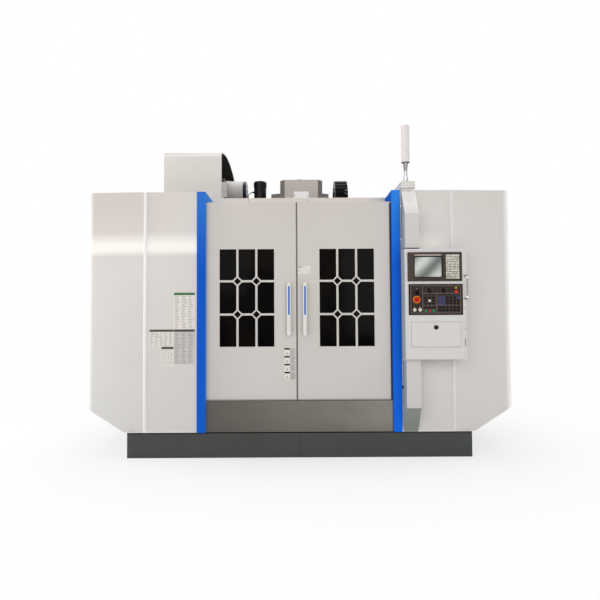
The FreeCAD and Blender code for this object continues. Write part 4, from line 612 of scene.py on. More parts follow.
NODE_MATERIALS = {
    WING: ["left_wing_cover", "right_wing_cover"],
    POST: ["pendant_post"],
    PANEL: ["lamp_stand", "electrical_cabinet", "cabinet_door"],
    PENDANT: ["pendant_box", "tray_door"],
    HEADER: ["door_header"],
    MAGAZINE: ["magazine_cover"],
    COVER: ["head_cover"],
    DOOR: ["left_door", "right_door"],
    BLUE: ["left_pillar"],
    BLUE_RIGHT_PAINTED_LIGHT: ["right_pillar"],
    DARK: ["coolant_tank_left", "coolant_tank_right"],
    APRON: ["front_apron"],
    CAST: ["machine_bed", "column", "saddle", "headstock", "atc_cam_box"],
    PLATE: ["magazine_carrier"],
    INNER: ["left_inner_guard", "right_inner_guard"],
    GREY: ["column_chain_bracket", "head_chain_bracket"],
    STEEL: ["work_table", "levelling_feet", "atc_arm", "magazine_disc", "change_pot"],
    BRIGHT: ["y_ballscrew", "z_ballscrew", "x_ballscrew", "spindle", "atc_shaft"],
    GRIP: ["left_handle", "right_handle"],
    BAR: ["pendant_handle"],
    BEZEL: ["display_unit"],
    OVERLAY: ["operator_panel"],
    RED: ["emergency_stop"],
    IVORY: ["power_on_button", "power_off_button"],
    BLACK: ["feed_override_knob", "spindle_override_knob", "key_switch", "cable_chain", "motor_cable"],
    MOTOR: ["y_axis_motor", "z_axis_motor", "x_axis_motor", "atc_motor", "spindle_motor"],
    ALLOY: ["magazine_drive_motor"],
    GLASS: ["left_window", "right_window"],
    LAMP: ["lamp_tube"],
}
FOLDED = ["pendant_post", "head_cover", "left_pillar", "right_pillar"]      # flat faces that meet at low angles


def dress(name, material, edge=0.0012):
    """Give a frame node its material and softly rounded edges."""
    item = frame["nodes"][name]
    item.data.materials.clear()
    item.data.materials.append(material)
    item.modifiers.new("weld", "WELD").merge_threshold = 0.00002
    bevel = item.modifiers.new("edges", "BEVEL")
    bevel.width = edge
    bevel.segments = 2
    bevel.limit_method = "ANGLE"
    bevel.angle_limit = math.radians(40)
    if name in FOLDED:
        item.modifiers.new("folds", "EDGE_SPLIT").split_angle = math.radians(5)
    item.modifiers.new("normals", "WEIGHTED_NORMAL")


for material, names in NODE_MATERIALS.items():
    for name in names:
        dress(name, material)


# ---------------------------------------------------------------- enclosure

WING_FACE = low("left_wing_cover", "Y")
FOOT, TOP = span("left_wing_cover", "Z")
FOLD = 1.187                  # how far from the middle a wing's front panel folds back
TANK_END = high("coolant_tank_right", "X")
DOOR_FACE = low("left_door", "Y")
DOOR_FOOT, DOOR_TOP = span("left_door", "Z")
HANDLE_FACE = low("left_handle", "Y")


def wing_trim(name, side, paint):
    """Rounded bead along a wing's fold and the turned lip at its foot, both pale as painted highlights, and the
    rubber strip below that, dark as painted shade of the gap above the tanks.
    """
    piece = Piece(name, "machine")
    half, rise, root = 0.0125, 0.006, WING_FACE + 0.003
    bead = [(side * (FOLD + half * math.cos(t)), WING_FACE - rise * math.sin(t)) for t in arc(8)]
    bead += [(side * (FOLD - half), root), (side * (FOLD + half), root)]
    # the bead's paint is a painted highlight
    piece.prism("Z", bead, (FOOT + 0.001, TOP - 0.001), paint, 0)
    across = sorted((side * (high("right_pillar", "X") + 0.004), side * (TANK_END - 0.002)))
    # painted highlight on the foot lip
    piece.block(across, proud(WING_FACE, 0.0015, 0.001), (FOOT + 0.001, FOOT + 0.008), WHITE)
    # dark strip: painted shade of the gap above the tank
    piece.block(across, proud(WING_FACE, -0.001, 0.009), (FOOT - 0.009, FOOT + 0.001), RUBBER)
    piece.done()


def wing_rim(name, side, start, inner_rise, outer_rise):
    """Raised rim along a wing's top, higher on its outer panel and its flank."""
    piece = Piece(name, "machine")
    deep, foot, fold = 0.010, TOP - 0.0012, FOLD + 0.001
    corner_x, corner_y = 1.614, -1.060
    flank, back = high("right_wing_cover", "X"), high("right_wing_cover", "Y") - 0.003
    line = [(start, WING_FACE, start, WING_FACE + deep, inner_rise),
            (fold, WING_FACE, fold, WING_FACE + deep, inner_rise),
            (corner_x, corner_y, corner_x - 0.001, corner_y + deep, outer_rise),
            (flank - 0.016, -1.044, flank - 0.024, -1.036, outer_rise),
            (flank, -1.005, flank - deep, -1.002, outer_rise),
            (flank, back, flank - deep, back, outer_rise)]
    piece.loft([[(side * x, y, foot), (side * x, y, TOP + rise), (side * far_x, far_y, TOP + rise),
                 (side * far_x, far_y, foot)] for x, y, far_x, far_y, rise in line], WING, 0.0008)
    piece.done()


def ruled_sheet(piece, seed, x, z, header, lines, columns, paper, bar):
    """A sheet with a plain coloured header bar and rows of short grey rules in columns."""
    chance = random.Random(seed)
    margin, half_rule = 0.004, 0.0017
    ink = proud(WING_FACE, 0.0011, -0.0006)
    piece.block(x, proud(WING_FACE, 0.0008, 0), z, paper, 0.0002)
    piece.block((x[0] + 0.001, x[1] - 0.001), ink, (z[1] - header, z[1] - 0.001), bar, 0)
    step = (z[1] - z[0] - header - 2 * margin) / lines
    width = (x[1] - x[0] - 2 * margin) / columns
    for line in range(lines):
        for column in range(columns):
            start = x[0] + margin + (column + 0.1) * width
            level = z[0] + margin + (line + 0.5) * step
            piece.block((start, start + width * chance.uniform(0.35, 0.8)), ink, about(level, half_rule),
                        PRINT_GREY, 0)


def wing_sheets():
    """Four ruled tables on the left wing beside the pillar."""
    piece = Piece("wing_tables", "machine")
    ruled_sheet(piece, 1, (-0.965, -0.803), (0.985, 1.268), 0.020, 20, 3, PAPER, PRINT_GREEN)
    ruled_sheet(piece, 2, (-0.965, -0.803), (0.716, 0.984), 0.018, 22, 3, FILM, PRINT_DARK)
    ruled_sheet(piece, 3, (-1.153, -0.966), (0.852, 0.984), 0.018, 9, 5, PAPER, PRINT_DARK)
    ruled_sheet(piece, 4, (-1.060, -0.966), (0.701, 0.851), 0.018, 9, 4, PAPER, PRINT_DARK)
    piece.done()


def door_trim(door, seam):
    """Rubber strip along a door's closing edge and the steel drip edge at its foot."""
    piece = Piece(door + "_trim", door, "dark_plastic")
    piece.block((seam, seam + 0.0035), proud(DOOR_FACE, 0.0008, 0.002), (DOOR_FOOT + 0.002, DOOR_TOP - 0.002),
                RUBBER)
    piece.block(span(door, "X", 0.003), proud(DOOR_FACE, 0.002, 0.001), (DOOR_FOOT - 0.0035, DOOR_FOOT + 0.006),
                DRIP)
    piece.done()


def stadium(centre, half, bottom, top, steps=12):
    """Outline of an upright strip with round ends."""
    turns = arc(steps)
    return ([(centre + half * math.cos(t), top - half + half * math.sin(t)) for t in turns] +
            [(centre - half * math.cos(t), bottom + half - half * math.sin(t)) for t in turns])


def door_handle(side):
    """Upright grip with round ends on two turned feet, with a long blue inlay and a pale label in its face."""
    handle = side + "_handle"
    piece = Piece(side + "_grip", side + "_door", "handle_silver")
    centre = middle(handle, "X")
    bottom, top = span(handle, "Z")
    grip = stadium(centre, high(handle, "X") - centre, bottom, top)
    piece.prism("Y", grip, (HANDLE_FACE, HANDLE_FACE + 0.021), GRIP, 0.006)
    foot = [(0.0105, 0.0015), (0.0105, -0.0015), (0.0085, -0.003), (0.0085, -0.027)]
    for level in (bottom + 0.045, top - 0.045):
        piece.lathe("Y", (centre, DOOR_FACE, level), foot, CHROME, 24)
    piece.prism("Y", stadium(centre, 0.0064, 1.090, 1.313, 8), proud(HANDLE_FACE, 0.0008, 0.001), INLAY, 0.0003)
    piece.prism("Y", stadium(centre, 0.0075, 0.962, 1.072, 8), proud(HANDLE_FACE, 0.0003, 0.001), PAPER, 0)
    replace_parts(piece.done(), handle)


def door_plate():
    """Plain plate beside the right handle, with three blank marks."""
    piece = Piece("right_door_plate", "right_door")
    piece.block((-0.0085, 0.092), proud(DOOR_FACE, 0.001, 0), (1.410, 1.470), PAPER, 0.0004)
    ink = proud(DOOR_FACE, 0.0013, -0.0008)
    piece.block((-0.007, 0.030), ink, (1.460, 1.466), PRINT_MOSS, 0)
    for x in (-0.002, 0.008):
        piece.block((x, x + 0.006), ink, (1.434, 1.440), PRINT_GREY, 0)
    piece.done()


def door_cards():
    """Four stacked cards under the left handle: a dark bar, a blank triangle and seven rules on each."""
    piece = Piece("left_door_cards", "left_door")
    left, right, bottom, top = -0.117, -0.0235, 0.590, 0.834
    piece.block((left, right), proud(DOOR_FACE, 0.0008, 0), (bottom, top), FILM, 0.0002)
    pitch, bar, rule = (top - bottom) / 4, 0.012, 0.0032
    ink = proud(DOOR_FACE, 0.0012, -0.0006)
    chance = random.Random(5)
    for row in range(4):
        level = bottom + row * pitch
        piece.block((left + 0.002, left + 0.044), ink, (level + 0.002, level + pitch - bar), PAPER, 0)
        piece.block((left + 0.003, left + 0.044), ink, (level + pitch - bar, level + pitch), KEY, 0)
        triangle = [(left + x, level + z) for x, z in ((0.017, 0.014), (0.031, 0.014), (0.024, 0.030))]
        piece.prism("Y", triangle, (ink[0] - 0.0003, ink[1]), PRINT_GREY, 0)
        for line in range(7):
            start, z = left + 0.050, level + 0.006 + line * 0.0078
            piece.block((start, start + chance.uniform(0.022, 0.040)), ink, (z, z + rule), PRINT_GREY, 0)
    piece.done()


def pillar_cap():
    """Thin cap on the right pillar and its arm."""
    piece = Piece("right_pillar_cap", "machine", "blue_enamel")
    piece.block(span("right_pillar", "X", 0.0003), span("right_pillar", "Y", 0.0003), (TOP - 0.0012, TOP + 0.0055),
                BLUE_RIGHT_PAINTED_LIGHT, 0.0010)
    piece.done()


def door_wiper():
    """Rubber wiper between the right pillar and the door that slides behind it, dark as painted shade of the gap
    there.
    """
    piece = Piece("door_wipers_painted_shade", "machine", "dark_plastic")
    # painted shade: a dark strip in the gap beside the right pillar
    piece.block((0.709, 0.7195), proud(DOOR_FACE, 0.012, -0.0015), (DOOR_FOOT, 1.960), RUBBER)
    piece.done()


def header_seams():
    """Joints of the header's cap strip and its pale top edge."""
    piece = Piece("header_seams", "machine")
    plate, top = high("door_header", "Y") - 0.003, high("door_header", "Z")
    for x in (-0.416, 0.078):
        piece.block(about(x, 0.0012), proud(plate, 0.0012), (top - 0.075, top - 0.001), GREY, 0)
    piece.block(span("door_header", "X", 0.002), proud(plate, 0.0015, 0), (top - 0.004, top - 0.0005), WHITE, 0.0003)
    piece.done()


def conduit():
    """Painted conduit up the gap between the right pillar and the pendant's post, in clips."""
    piece = Piece("post_conduit", "machine", "grey_sheet")
    centre = (0.7935, WING_FACE - 0.0045, 0.0)
    piece.lathe("Z", centre, [(0.0045, 0.26), (0.0045, 2.0)], TUBE_BLUE, 16)
    clip = ((0.0052, 0.0), (0.0058, 0.003), (0.0058, 0.015), (0.0052, 0.018))
    for level in (0.40, 0.72, 1.66, 1.92):
        piece.lathe("Z", centre, [(radius, level + rise) for radius, rise in clip], BRIGHT, 16)
    piece.block((0.7885, 0.7995), proud(WING_FACE, 0.012, 0), (0.522, 0.546), RUBBER, 0.002)
    piece.done()


wing_rim("left_wing_rim", -1, FOLD, 0.001, 0.009)
wing_rim("right_wing_rim", 1, high("lamp_stand", "X") + 0.001, 0.006, 0.014)
wing_trim("left_wing_trim", -1, WHITE)
wing_trim("right_wing_trim", 1, WHITE_DIMMER_HIGHLIGHT)
wing_sheets()
door_trim("left_door", high("left_door", "X") - 0.0052)
door_trim("right_door", low("right_door", "X") + 0.0007)
door_handle("left")
door_handle("right")
header_seams()
door_plate()
door_cards()
pillar_cap()
door_wiper()
conduit()


# ---------------------------------------------------------------- pendant

DISPLAY_FACE = low("display_unit", "Y")
BOX_FACE = high("display_unit", "Y")
PANEL_FACE = BOX_FACE - 0.005
LEFT, RIGHT = span("display_unit", "X")
BOTTOM, UPPER = span("display_unit", "Z")
TRAY_FOOT, TRAY_HEIGHT = 0.847, 0.184       # the tray door as the photograph shows it


def on_panel(node):
    """The place on the panel's face behind a button or a knob."""
    return (middle(node, "X"), PANEL_FACE, middle(node, "Z"))


def key(piece, x, z, size, face, rise, material, mark=None):
    """One key with soft edges and, where it has one, a short light mark."""
    width, height = size
    piece.block(about(x, width / 2), proud(face, rise), about(z, height / 2), material, 0.0008)
    if mark:
        piece.block(about(x, width * 0.2), proud(face - rise, 0.0003, 0.0002), about(z, 0.001), mark, 0)


def display():
    """Screen, soft keys, key field and bezel screws of the display unit."""
    piece = Piece("display_details", "pendant", "bezel_plastic")
    raised = proud(DISPLAY_FACE, 0.0012, 0.001)
    screen_x, screen_z, rim = (LEFT + 0.050, LEFT + 0.249), (BOTTOM + 0.031, BOTTOM + 0.179), 0.006
    piece.block(screen_x, proud(DISPLAY_FACE + 0.005, 0.0012, -0.0002), screen_z, SCREEN, 0.0004)
    piece.frame((screen_x[0] - rim, screen_x[1] + rim), raised, (screen_z[0] - rim, screen_z[1] + rim), rim, RIM,
                0.0005)
    soft_pitch = 0.0195
    for row in range(8):
        key(piece, 1.0685, 1.372 + row * soft_pitch, (0.0085, 0.0105), DISPLAY_FACE, 0.0018, KEY, LINE)
    for column in range(10):
        key(piece, 0.866 + column * soft_pitch, 1.3480, (0.012, 0.0075), DISPLAY_FACE, 0.0018, KEY, LINE)
    piece.frame((1.083, 1.191), raised, (1.346, 1.536), 0.004, RIM, 0.0004)
    piece.block((1.087, 1.187), proud(DISPLAY_FACE, 0.0006, 0.001), (1.350, 1.532), PAD_BED, 0.0003)
    chance = random.Random(11)
    tones = [KEY_PALE] * 6 + [KEY_MOSS] * 3 + [KEY_ROSE]
    for row in range(10):
        for column in range(8):
            key(piece, 1.0932 + column * 0.0125, 1.3585 + row * 0.0183, (0.0100, 0.0138), DISPLAY_FACE - 0.0004,
                0.0025, chance.choice(tones), PRINT_GREY)
    piece.block((0.857, 1.052), proud(DISPLAY_FACE, 0.0008, 0.001), (1.5225, 1.5325), STRIP, 0.0004)
    piece.block((0.862, 0.873), proud(DISPLAY_FACE, 0.0011, 0), (1.5255, 1.5305), KEY_RED, 0)
    for x in (LEFT + 0.008, LEFT + 0.136, LEFT + 0.264, RIGHT - 0.008):
        for z in (BOTTOM + 0.007, UPPER - 0.007):
            piece.screw((x, DISPLAY_FACE + 0.0005, z), 0.0034, 0.0016, RIM)
    piece.done()


def panel():
    """Frame lines, keys, lenses and scales of the operator panel."""
    piece = Piece("operator_keys", "pendant", "panel_plate")
    line, bed, raised = (proud(PANEL_FACE, rise) for rise in (0.0006, 0.0004, 0.0012))
    thin = 0.0026
    middle_x, split_x, right_x = 0.9130, 1.0160, 1.197      # the field's dividing lines and its right end
    field_z, top_z, split_z = (1.097, 1.302), 1.2424, 1.1550
    piece.frame((0.8125, 1.2115), raised, (1.0845, 1.3125), 0.006, RIM, 0.0005)
    piece.frame((0.826, right_x), line, field_z, thin, LINE, 0)
    for x, z in (((middle_x, middle_x + thin), field_z), ((middle_x, right_x), (top_z, top_z + thin)),
                 ((split_x, split_x + thin), (field_z[0], top_z)), ((middle_x, right_x), (split_z, split_z + thin))):
        piece.block(x, line, z, LINE, 0)
    for z in ((1.1585, 1.226), (1.103, 1.151)):
        for x in ((0.921, 1.009), (1.024, 1.193)):
            piece.block(x, bed, z, KEYBED, 0)
    left = (0.9370, 0.9655, 0.9940)
    right = (1.0395, 1.0670, 1.0950, 1.1230, 1.1510, 1.1785)
    dark, rise = (0.0205, 0.0165), 0.003
    for row, z in enumerate((1.2115, 1.1895, 1.1670, 1.1400, 1.1180)):
        for column, x in enumerate((left if row < 3 else ()) + right):
            if (row, column) == (1, 1):
                key(piece, x, z, (0.0165, 0.0150), PANEL_FACE, rise, KEY_PALE)
            elif (row, column) in ((0, 3), (0, 4), (0, 8), (1, 3), (1, 4), (2, 3), (2, 4)):
                key(piece, x, z, (0.0150, 0.0130), PANEL_FACE, rise, KEY_BLUE)
            else:
                key(piece, x, z, dark, PANEL_FACE, rise, KEY, KEY_MARK)
    for x, lamp in zip(left, (KEY_GREEN, KEY_RED, KEY_GREEN)):
        key(piece, x, 1.1385, (0.0205, 0.0150), PANEL_FACE, rise, KEY, KEY_MARK)
        key(piece, x, 1.1155, (0.0160, 0.0135), PANEL_FACE, rise, lamp)
    piece.block((1.1525, 1.1735), proud(PANEL_FACE, 0.003), (1.2480, 1.2640), LENS_RED, 0.0012)
    piece.block((1.153, 1.171), raised, (1.2780, 1.2900), YELLOW, 0.0005)
    piece.block((0.866, 0.878), line, (1.2780, 1.2830), LINE, 0.0003)
    for name in ("power_on_button", "power_off_button"):
        x = low(name, "X")
        piece.block((x + 0.008, x + 0.017), line, (1.140, 1.1425), MARK, 0)
        piece.lathe("Y", on_panel(name), [(0.0152, 0.0004), (0.0152, -0.0012), (0.0142, -0.0018), (0.0132, -0.0018),
                                          (0.0132, 0.0004)], RIM, 32)
    for name in ("feed_override_knob", "spindle_override_knob"):
        piece.lathe("Y", on_panel(name), [(0.0275, 0.0004), (0.0275, -0.0006), (0.0265, -0.0008)], SKIRT, 40)
        for turn in arc(12, math.radians(270)):
            place = Matrix.Translation(on_panel(name)) @ Matrix.Rotation(math.radians(45) - turn, 4, "Y")
            piece.block((0.0238, 0.0262), (-0.0011, -0.0005), about(0, 0.0005), LINE, 0, place)
    piece.lathe("Y", on_panel("emergency_stop"), [(0.0280, 0.0004), (0.0280, -0.0024), (0.0268, -0.0031),
                                                  (0.0132, -0.0031), (0.0132, 0.0004)], AMBER, 40)
    piece.done()


def stop_head():
    """Red mushroom head of the emergency stop."""
    piece = Piece("stop_head", "emergency_stop", "stop_red")
    piece.lathe("Y", on_panel("emergency_stop"),
                [(0.010, 0.018), (0.010, -0.0094), (0.0164, -0.0094), (0.0178, -0.0112), (0.0178, -0.0200),
                 (0.0170, -0.0270), (0.0150, -0.0315), (0.0115, -0.0338), (0.0060, -0.0342)], RED, 40)
    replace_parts(piece.done(), "emergency_stop")


def override_knob(name, body, node):
    """Fluted override knob with a pointer, on a round skirt."""
    piece = Piece(name, body, "dark_plastic")
    x, face, z = on_panel(node)
    piece.lathe("Y", (x, face, z), [(0.008, 0.012), (0.008, -0.0004), (0.0190, -0.0004), (0.0190, -0.004),
                                    (0.0175, -0.006), (0.0160, -0.0064)], KEY, 40)
    mean, depth, flutes = 0.0146, 0.0006, 18
    outline = []
    for turn in arc(72, 2 * math.pi)[:-1]:
        radius = mean + depth * math.cos(flutes * turn)
        outline.append((x + radius * math.cos(turn), z + radius * math.sin(turn)))
    piece.prism("Y", outline, (face - 0.0060, face - 0.0218), BLACK, 0.0012)
    piece.block(about(x, 0.0011), (face - 0.0222, face - 0.0214), (z + 0.003, z + 0.0130), LINE, 0.0002)
    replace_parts(piece.done(), node)


def switch_key():
    """Key in the key switch: a black collar, the blade and an upright oval bow."""
    piece = Piece("switch_key", "key_switch", "dark_plastic")
    x, z, face = middle("key_switch", "X"), middle("key_switch", "Z"), low("key_switch", "Y")
    piece.lathe("Y", (x, face, z), [(0.0105, 0.001), (0.0105, -0.0008), (0.0095, -0.0014)], KEY, 32)
    piece.block(about(x, 0.0012), (face - 0.009, face), (z - 0.004, z + 0.009), KEY, 0.0003)
    bow = [(x + 0.0075 * math.cos(t), z + 0.013 + 0.0115 * math.sin(t)) for t in arc(24, 2 * math.pi)[:-1]]
    piece.prism("Y", bow, (face - 0.0085, face - 0.0125), KEY, 0.0012)
    piece.done()


def pendant_fittings():
    """Shadow line round the tray door and the fittings on the bevel."""
    piece = Piece("pendant_fittings", "pendant")
    left, right = span("tray_door", "X", -0.0022)
    piece.frame((left, right), proud(BOX_FACE, 0.0006, 0.001), (TRAY_FOOT - 0.002, high("tray_door", "Z") + 0.0022),
                0.0018, GREY, 0.0002)
    wide, deep = 0.043, 0.050
    turn = Matrix.Rotation(-math.atan2(wide, deep), 4, "Z")

    def on_bevel(level):
        """The place on the bevel's middle at a level, with X out of its face."""
        return Matrix.Translation((high("pendant_box", "X") - wide / 2, BOX_FACE + deep / 2, level)) @ turn

    for level in (1.137, 0.985):
        piece.lathe("X", (0, 0, 0), [(0.0045, -0.001), (0.0045, 0.0012), (0.003, 0.002)], RIM, 20, 0, on_bevel(level))
    piece.block((-0.001, 0.0016), about(0, 0.0045), about(0, 0.0295), GREY, 0.0008, on_bevel(0.8815))
    piece.block((-0.001, 0.0020), about(0, 0.002), about(0, 0.024), RIM, 0.0005, on_bevel(0.8815))
    piece.done()


def tray_lock():
    """Round lock of the tray door with an upright slot."""
    piece = Piece("tray_lock", "tray_door", "dark_plastic")
    x, face, z = middle("tray_door", "X"), low("tray_door", "Y"), TRAY_FOOT + 0.79 * TRAY_HEIGHT
    piece.lathe("Y", (x, face, z), [(0.0158, 0.0075), (0.0158, -0.0002), (0.0145, -0.0012), (0.0060, -0.0012)], BLACK,
                32)
    piece.block(about(x, 0.0012), (face - 0.0016, face), about(z, 0.005), SKIRT, 0.0003)
    piece.done()


def shaded_flanks():
    """Grey-blue strips of painted shade on the left flanks of the pendant and of its post."""
    side = Piece("pendant_edge", "pendant", "grey_sheet")
    left = low("pendant_box", "X")
    side.block((left - 0.0010, left + 0.001), (BOX_FACE + 0.004, high("pendant_box", "Y") - 0.004),
               span("pendant_box", "Z", 0.026), FLANK_SHADE, 0.0004)
    side.done()
    post = Piece("post_edge", "machine", "grey_sheet")
    left, face = low("pendant_post", "X"), low("pendant_post", "Y") + 0.003
    lower, upper = span("pendant_box", "Z", 0.002)
    for end, level, fold in ((TOP - 0.004, upper, 1.860), (FOOT + 0.010, lower, 0.394)):
        post.prism("X", [(WING_FACE, end), (WING_FACE, level), (face, level), (face, fold)],
                   (left - 0.0006, left + 0.001), FLANK_SHADE, 0)
    post.done()


def post_collars():
    """Dark collars at the post's joints above and below the pendant, dark as painted shade of the gaps there."""
    piece = Piece("post_joints_painted_shade", "machine", "dark_plastic")
    lower, upper = span("pendant_box", "Z", 0.020)
    for level in ((upper + 0.0006, upper + 0.0140), (lower - 0.0045, lower - 0.0006)):
        # painted shade in the joints' gaps
        piece.block(span("pendant_post", "X", -0.0004), proud(low("pendant_post", "Y"), 0.0006, 0.100), level, RIM,
                    0.0006)
    piece.done()


display()
panel()
stop_head()
override_knob("feed_knob", "feed_override", "feed_override_knob")
override_knob("spindle_knob", "spindle_override", "spindle_override_knob")
switch_key()
pendant_fittings()
tray_lock()
shaded_flanks()
post_collars()


# ---------------------------------------------------------------- what stands above the enclosure

CHAIN_STEPS = 28              # links of the cable chain
CHAIN_THICK = 0.060
ARM_TOP = 2.108               # where the signal lamp's chrome stem stands on its arm


def lamp_finish():
    """Chrome stem and taper of the signal lamp, and the seams of its tube."""
    centre = (middle("lamp_tube", "X"), middle("lamp_tube", "Y"), 0)
    foot, tube_foot = ARM_TOP, low("lamp_tube", "Z")
    stem = Piece("lamp_stem", "machine", "chrome")
    stem.lathe("Z", centre, [(0.0215, foot), (0.0215, foot + 0.004), (0.0196, foot + 0.006), (0.0196, 2.158),
                             (0.0148, 2.161), (0.0148, 2.207), (0.0136, 2.209)], CHROME, 40)
    stem.lathe("Z", centre, [(0.0128, 2.2085), (0.0198, tube_foot - 0.004), (0.0212, tube_foot - 0.003),
                             (0.0212, tube_foot)], SMOKED, 40)
    stem.done()
    seams = Piece("lamp_seams", "machine", "lamp_white")
    seam = ((0.0320, 0.0), (0.0331, 0.0008), (0.0331, 0.0026), (0.0320, 0.0034))
    for level in (tube_foot, tube_foot + 0.092, tube_foot + 0.184):
        seams.lathe("Z", centre, [(radius, level + rise) for radius, rise in seam], LAMP_SEAM, 40)
    seams.done()


def lamp_arm():
    """Box arm that carries the lamp's stand, with a grey-blue left flank of painted shade and a soffit in front, pale
    as painted light from below.
    """
    piece = Piece("lamp_arm", "machine")
    left, right = span("lamp_stand", "X")
    front, back = span("lamp_stand", "Y")
    under, bottom = low("lamp_stand", "Z"), 2.055
    piece.block((left + 0.0006, right - 0.0006), (back - 0.004, back + 0.208), (bottom + 0.0004, ARM_TOP - 0.0004),
                PANEL)
    # left flank: painted shade
    piece.block((left - 0.0006, left + 0.0010), (front + 0.003, back + 0.207), (bottom + 0.001, ARM_TOP - 0.001),
                FLANK_SHADE, 0.0004)
    # painted light on the underside of the lamp's stand
    piece.block((left + 0.003, right - 0.002), (front + 0.004, WING_FACE - 0.002), (under - 0.0008, under + 0.001),
                WHITE, 0.0004)
    piece.done()


def head_plate():
    """Blank white plate on the head cover's front, held by two screws."""
    piece = Piece("head_plate", "head")
    face = low("head_cover", "Y")
    piece.block((-0.040, 0.094), (face - 0.0015, face), (2.128, 2.203), BARE, 0.0006)
    for x in (-0.031, 0.085):
        piece.screw((x, face - 0.001, 2.166), 0.004, 0.002, RIM)
    piece.done()


def drive_motor_end():
    """The magazine's drive motor: black end ring, end plate with sockets, collar and flange at the carrier."""
    piece = Piece("drive_motor_end", "machine", "motor_black")
    base, end = span("magazine_drive_motor", "X")
    y, z = middle("magazine_drive_motor", "Y"), middle("magazine_drive_motor", "Z")
    piece.lathe("X", (end - 0.030, y, z), [(0.0972, 0.001), (0.0984, 0.004), (0.0984, 0.026), (0.0945, 0.033)],
                END_RING, 56)
    piece.lathe("X", (base, y, z), [(0.099, 0.0004), (0.1035, 0.0004), (0.1035, 0.022), (0.1015, 0.024),
                                    (0.099, 0.024)], ALLOY, 56)
    front = low("magazine_carrier", "Y") - 0.0015
    flange = (2.200, 2.343)
    piece.block((base - 0.0235, base + 0.025), (front, front + 0.003), flange, PLATE, 0.0008)
    piece.block((base - 0.001, base + 0.025), (front + 0.001, y), flange, PLATE, 0.0015)
    piece.lathe("X", (end + 0.003, y, z), [(0.086, -0.001), (0.086, 0.003), (0.083, 0.005)], ALLOY, 48)
    for level in (-0.045, 0.0, 0.045):
        piece.lathe("X", (end + 0.0075, y, z + level), [(0.012, 0), (0.012, 0.002), (0.010, 0.003), (0.006, 0.003)],
                    RIM, 24)
    piece.done()


def magazine_shade_lining():
    """Dark lining inside the magazine's cover and the dark strip at the carrier beside it, both painted shade of the
    cover's open interior.
    """
    near, far = span("magazine_cover", "Y")
    left, right = span("magazine_cover", "X")
    foot, top = span("magazine_cover", "Z")

    def arch(inset):
        """The cover's end outline from its near foot over its crown to its far foot, moved inwards."""
        half = (far - near) / 2 - 0.06      # of the crown, between its rounded corners
        rise = 0.056                        # of the crown's middle above its ends
        radius = (half * half + rise * rise) / (2 * rise)
        spread = math.asin(half / radius)
        centre = top - inset - radius
        crown = [((near + far) / 2 - radius * math.sin(spread - t), centre + radius * math.cos(spread - t))
                 for t in arc(20, 2 * spread)]
        drop = crown[0][1] - 0.045
        return ([(near + inset, foot + 0.004), (near + inset, drop), (near + inset + 0.012, drop + 0.026)] + crown +
                [(far - inset - 0.012, drop + 0.026), (far - inset, drop), (far - inset, foot + 0.004)])

    piece = Piece("magazine_shade_lining", "machine", "dark_plastic")
    piece.prism("X", arch(0.0035) + arch(0.0060)[::-1], (left + 0.006, right - 0.004), SHADE_LINING, 0)
    # painted shade on the carrier, beside the cover's open side
    piece.block((right + 0.0005, right + 0.0245), (near - 0.0008, near + 0.9), (2.338, 2.3806), SHADE_LINING, 0.001)
    piece.done()


def motor_cable():
    """The changer motor's cable, with its relief at the motor and its gland on the cam box."""
    side, depth, base = high("motor_cable", "X"), middle("motor_cable", "Y"), low("motor_cable", "Z")
    route = [(0, 0.141), (0.030, 0.141), (0.053, 0.122), (0.060, 0.082), (0.043, 0.036), (0.043, 0)]
    points = [(side - left, depth, base + rise) for left, rise in route]
    curve = bpy.data.curves.new("changer_cable", "CURVE")
    curve.dimensions = "3D"
    curve.bevel_depth = 0.004
    curve.bevel_resolution = 6
    curve.resolution_u = 24
    spline = curve.splines.new("NURBS")
    spline.points.add(len(points) - 1)
    for control, point in zip(spline.points, points):
        control.co = (*point, 1.0)
    spline.order_u = 3
    spline.use_endpoint_u = True
    curve.materials.append(CABLE)
    cable = link(bpy.data.objects.new("changer_cable", curve))
    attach(cable, "machine")
    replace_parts(cable, "motor_cable")
    ends = Piece("cable_glands", "machine", "dark_plastic")
    ends.lathe("X", points[0], [(0.0105, 0.004), (0.0105, -0.004), (0.0075, -0.006), (0.0062, -0.012),
                                (0.0050, -0.020), (0.0043, -0.024)], RUBBER, 24)
    ends.lathe("Z", points[-1], [(0.0095, 0), (0.0095, 0.006)], BRIGHT, 6, 0.0006)
    ends.lathe("Z", points[-1], [(0.0072, 0.006), (0.0070, 0.012), (0.0050, 0.016), (0.0043, 0.018)], RUBBER, 24)
    ends.done()


def chain_link(piece, place, left, right):
    """One link: two side plates and two cross bars, in a frame of X across, Y along and Z outwards."""
    half, length, corner = CHAIN_THICK / 2 - 0.003, 0.0245, 0.009
    outline = []
    for x, z, first in ((1, 1, 0), (-1, 1, 90), (-1, -1, 180), (1, -1, 270)):
        for turn in (math.radians(first + step) for step in (0, 45, 90)):
            outline.append((x * (length - corner) + corner * math.cos(turn),
                            z * (half - corner) + corner * math.sin(turn)))
    for ends in ((left, left + 0.007), (right - 0.007, right)):
        piece.prism("X", outline, ends, BLACK, 0.0012, place)
    for level in (-half + 0.004, half - 0.004):
        piece.block((left + 0.006, right - 0.006), about(0, 0.013), about(level, 0.003), KEY, 0.001, place)
    for x, out in ((left + 0.0002, -0.0008), (right - 0.0002, 0.0008)):
        piece.lathe("X", (x, 0, 0), [(0.008, 0), (0.008, out * 1.2), (0.006, out * 1.6)], RIM, 14, 0, place)


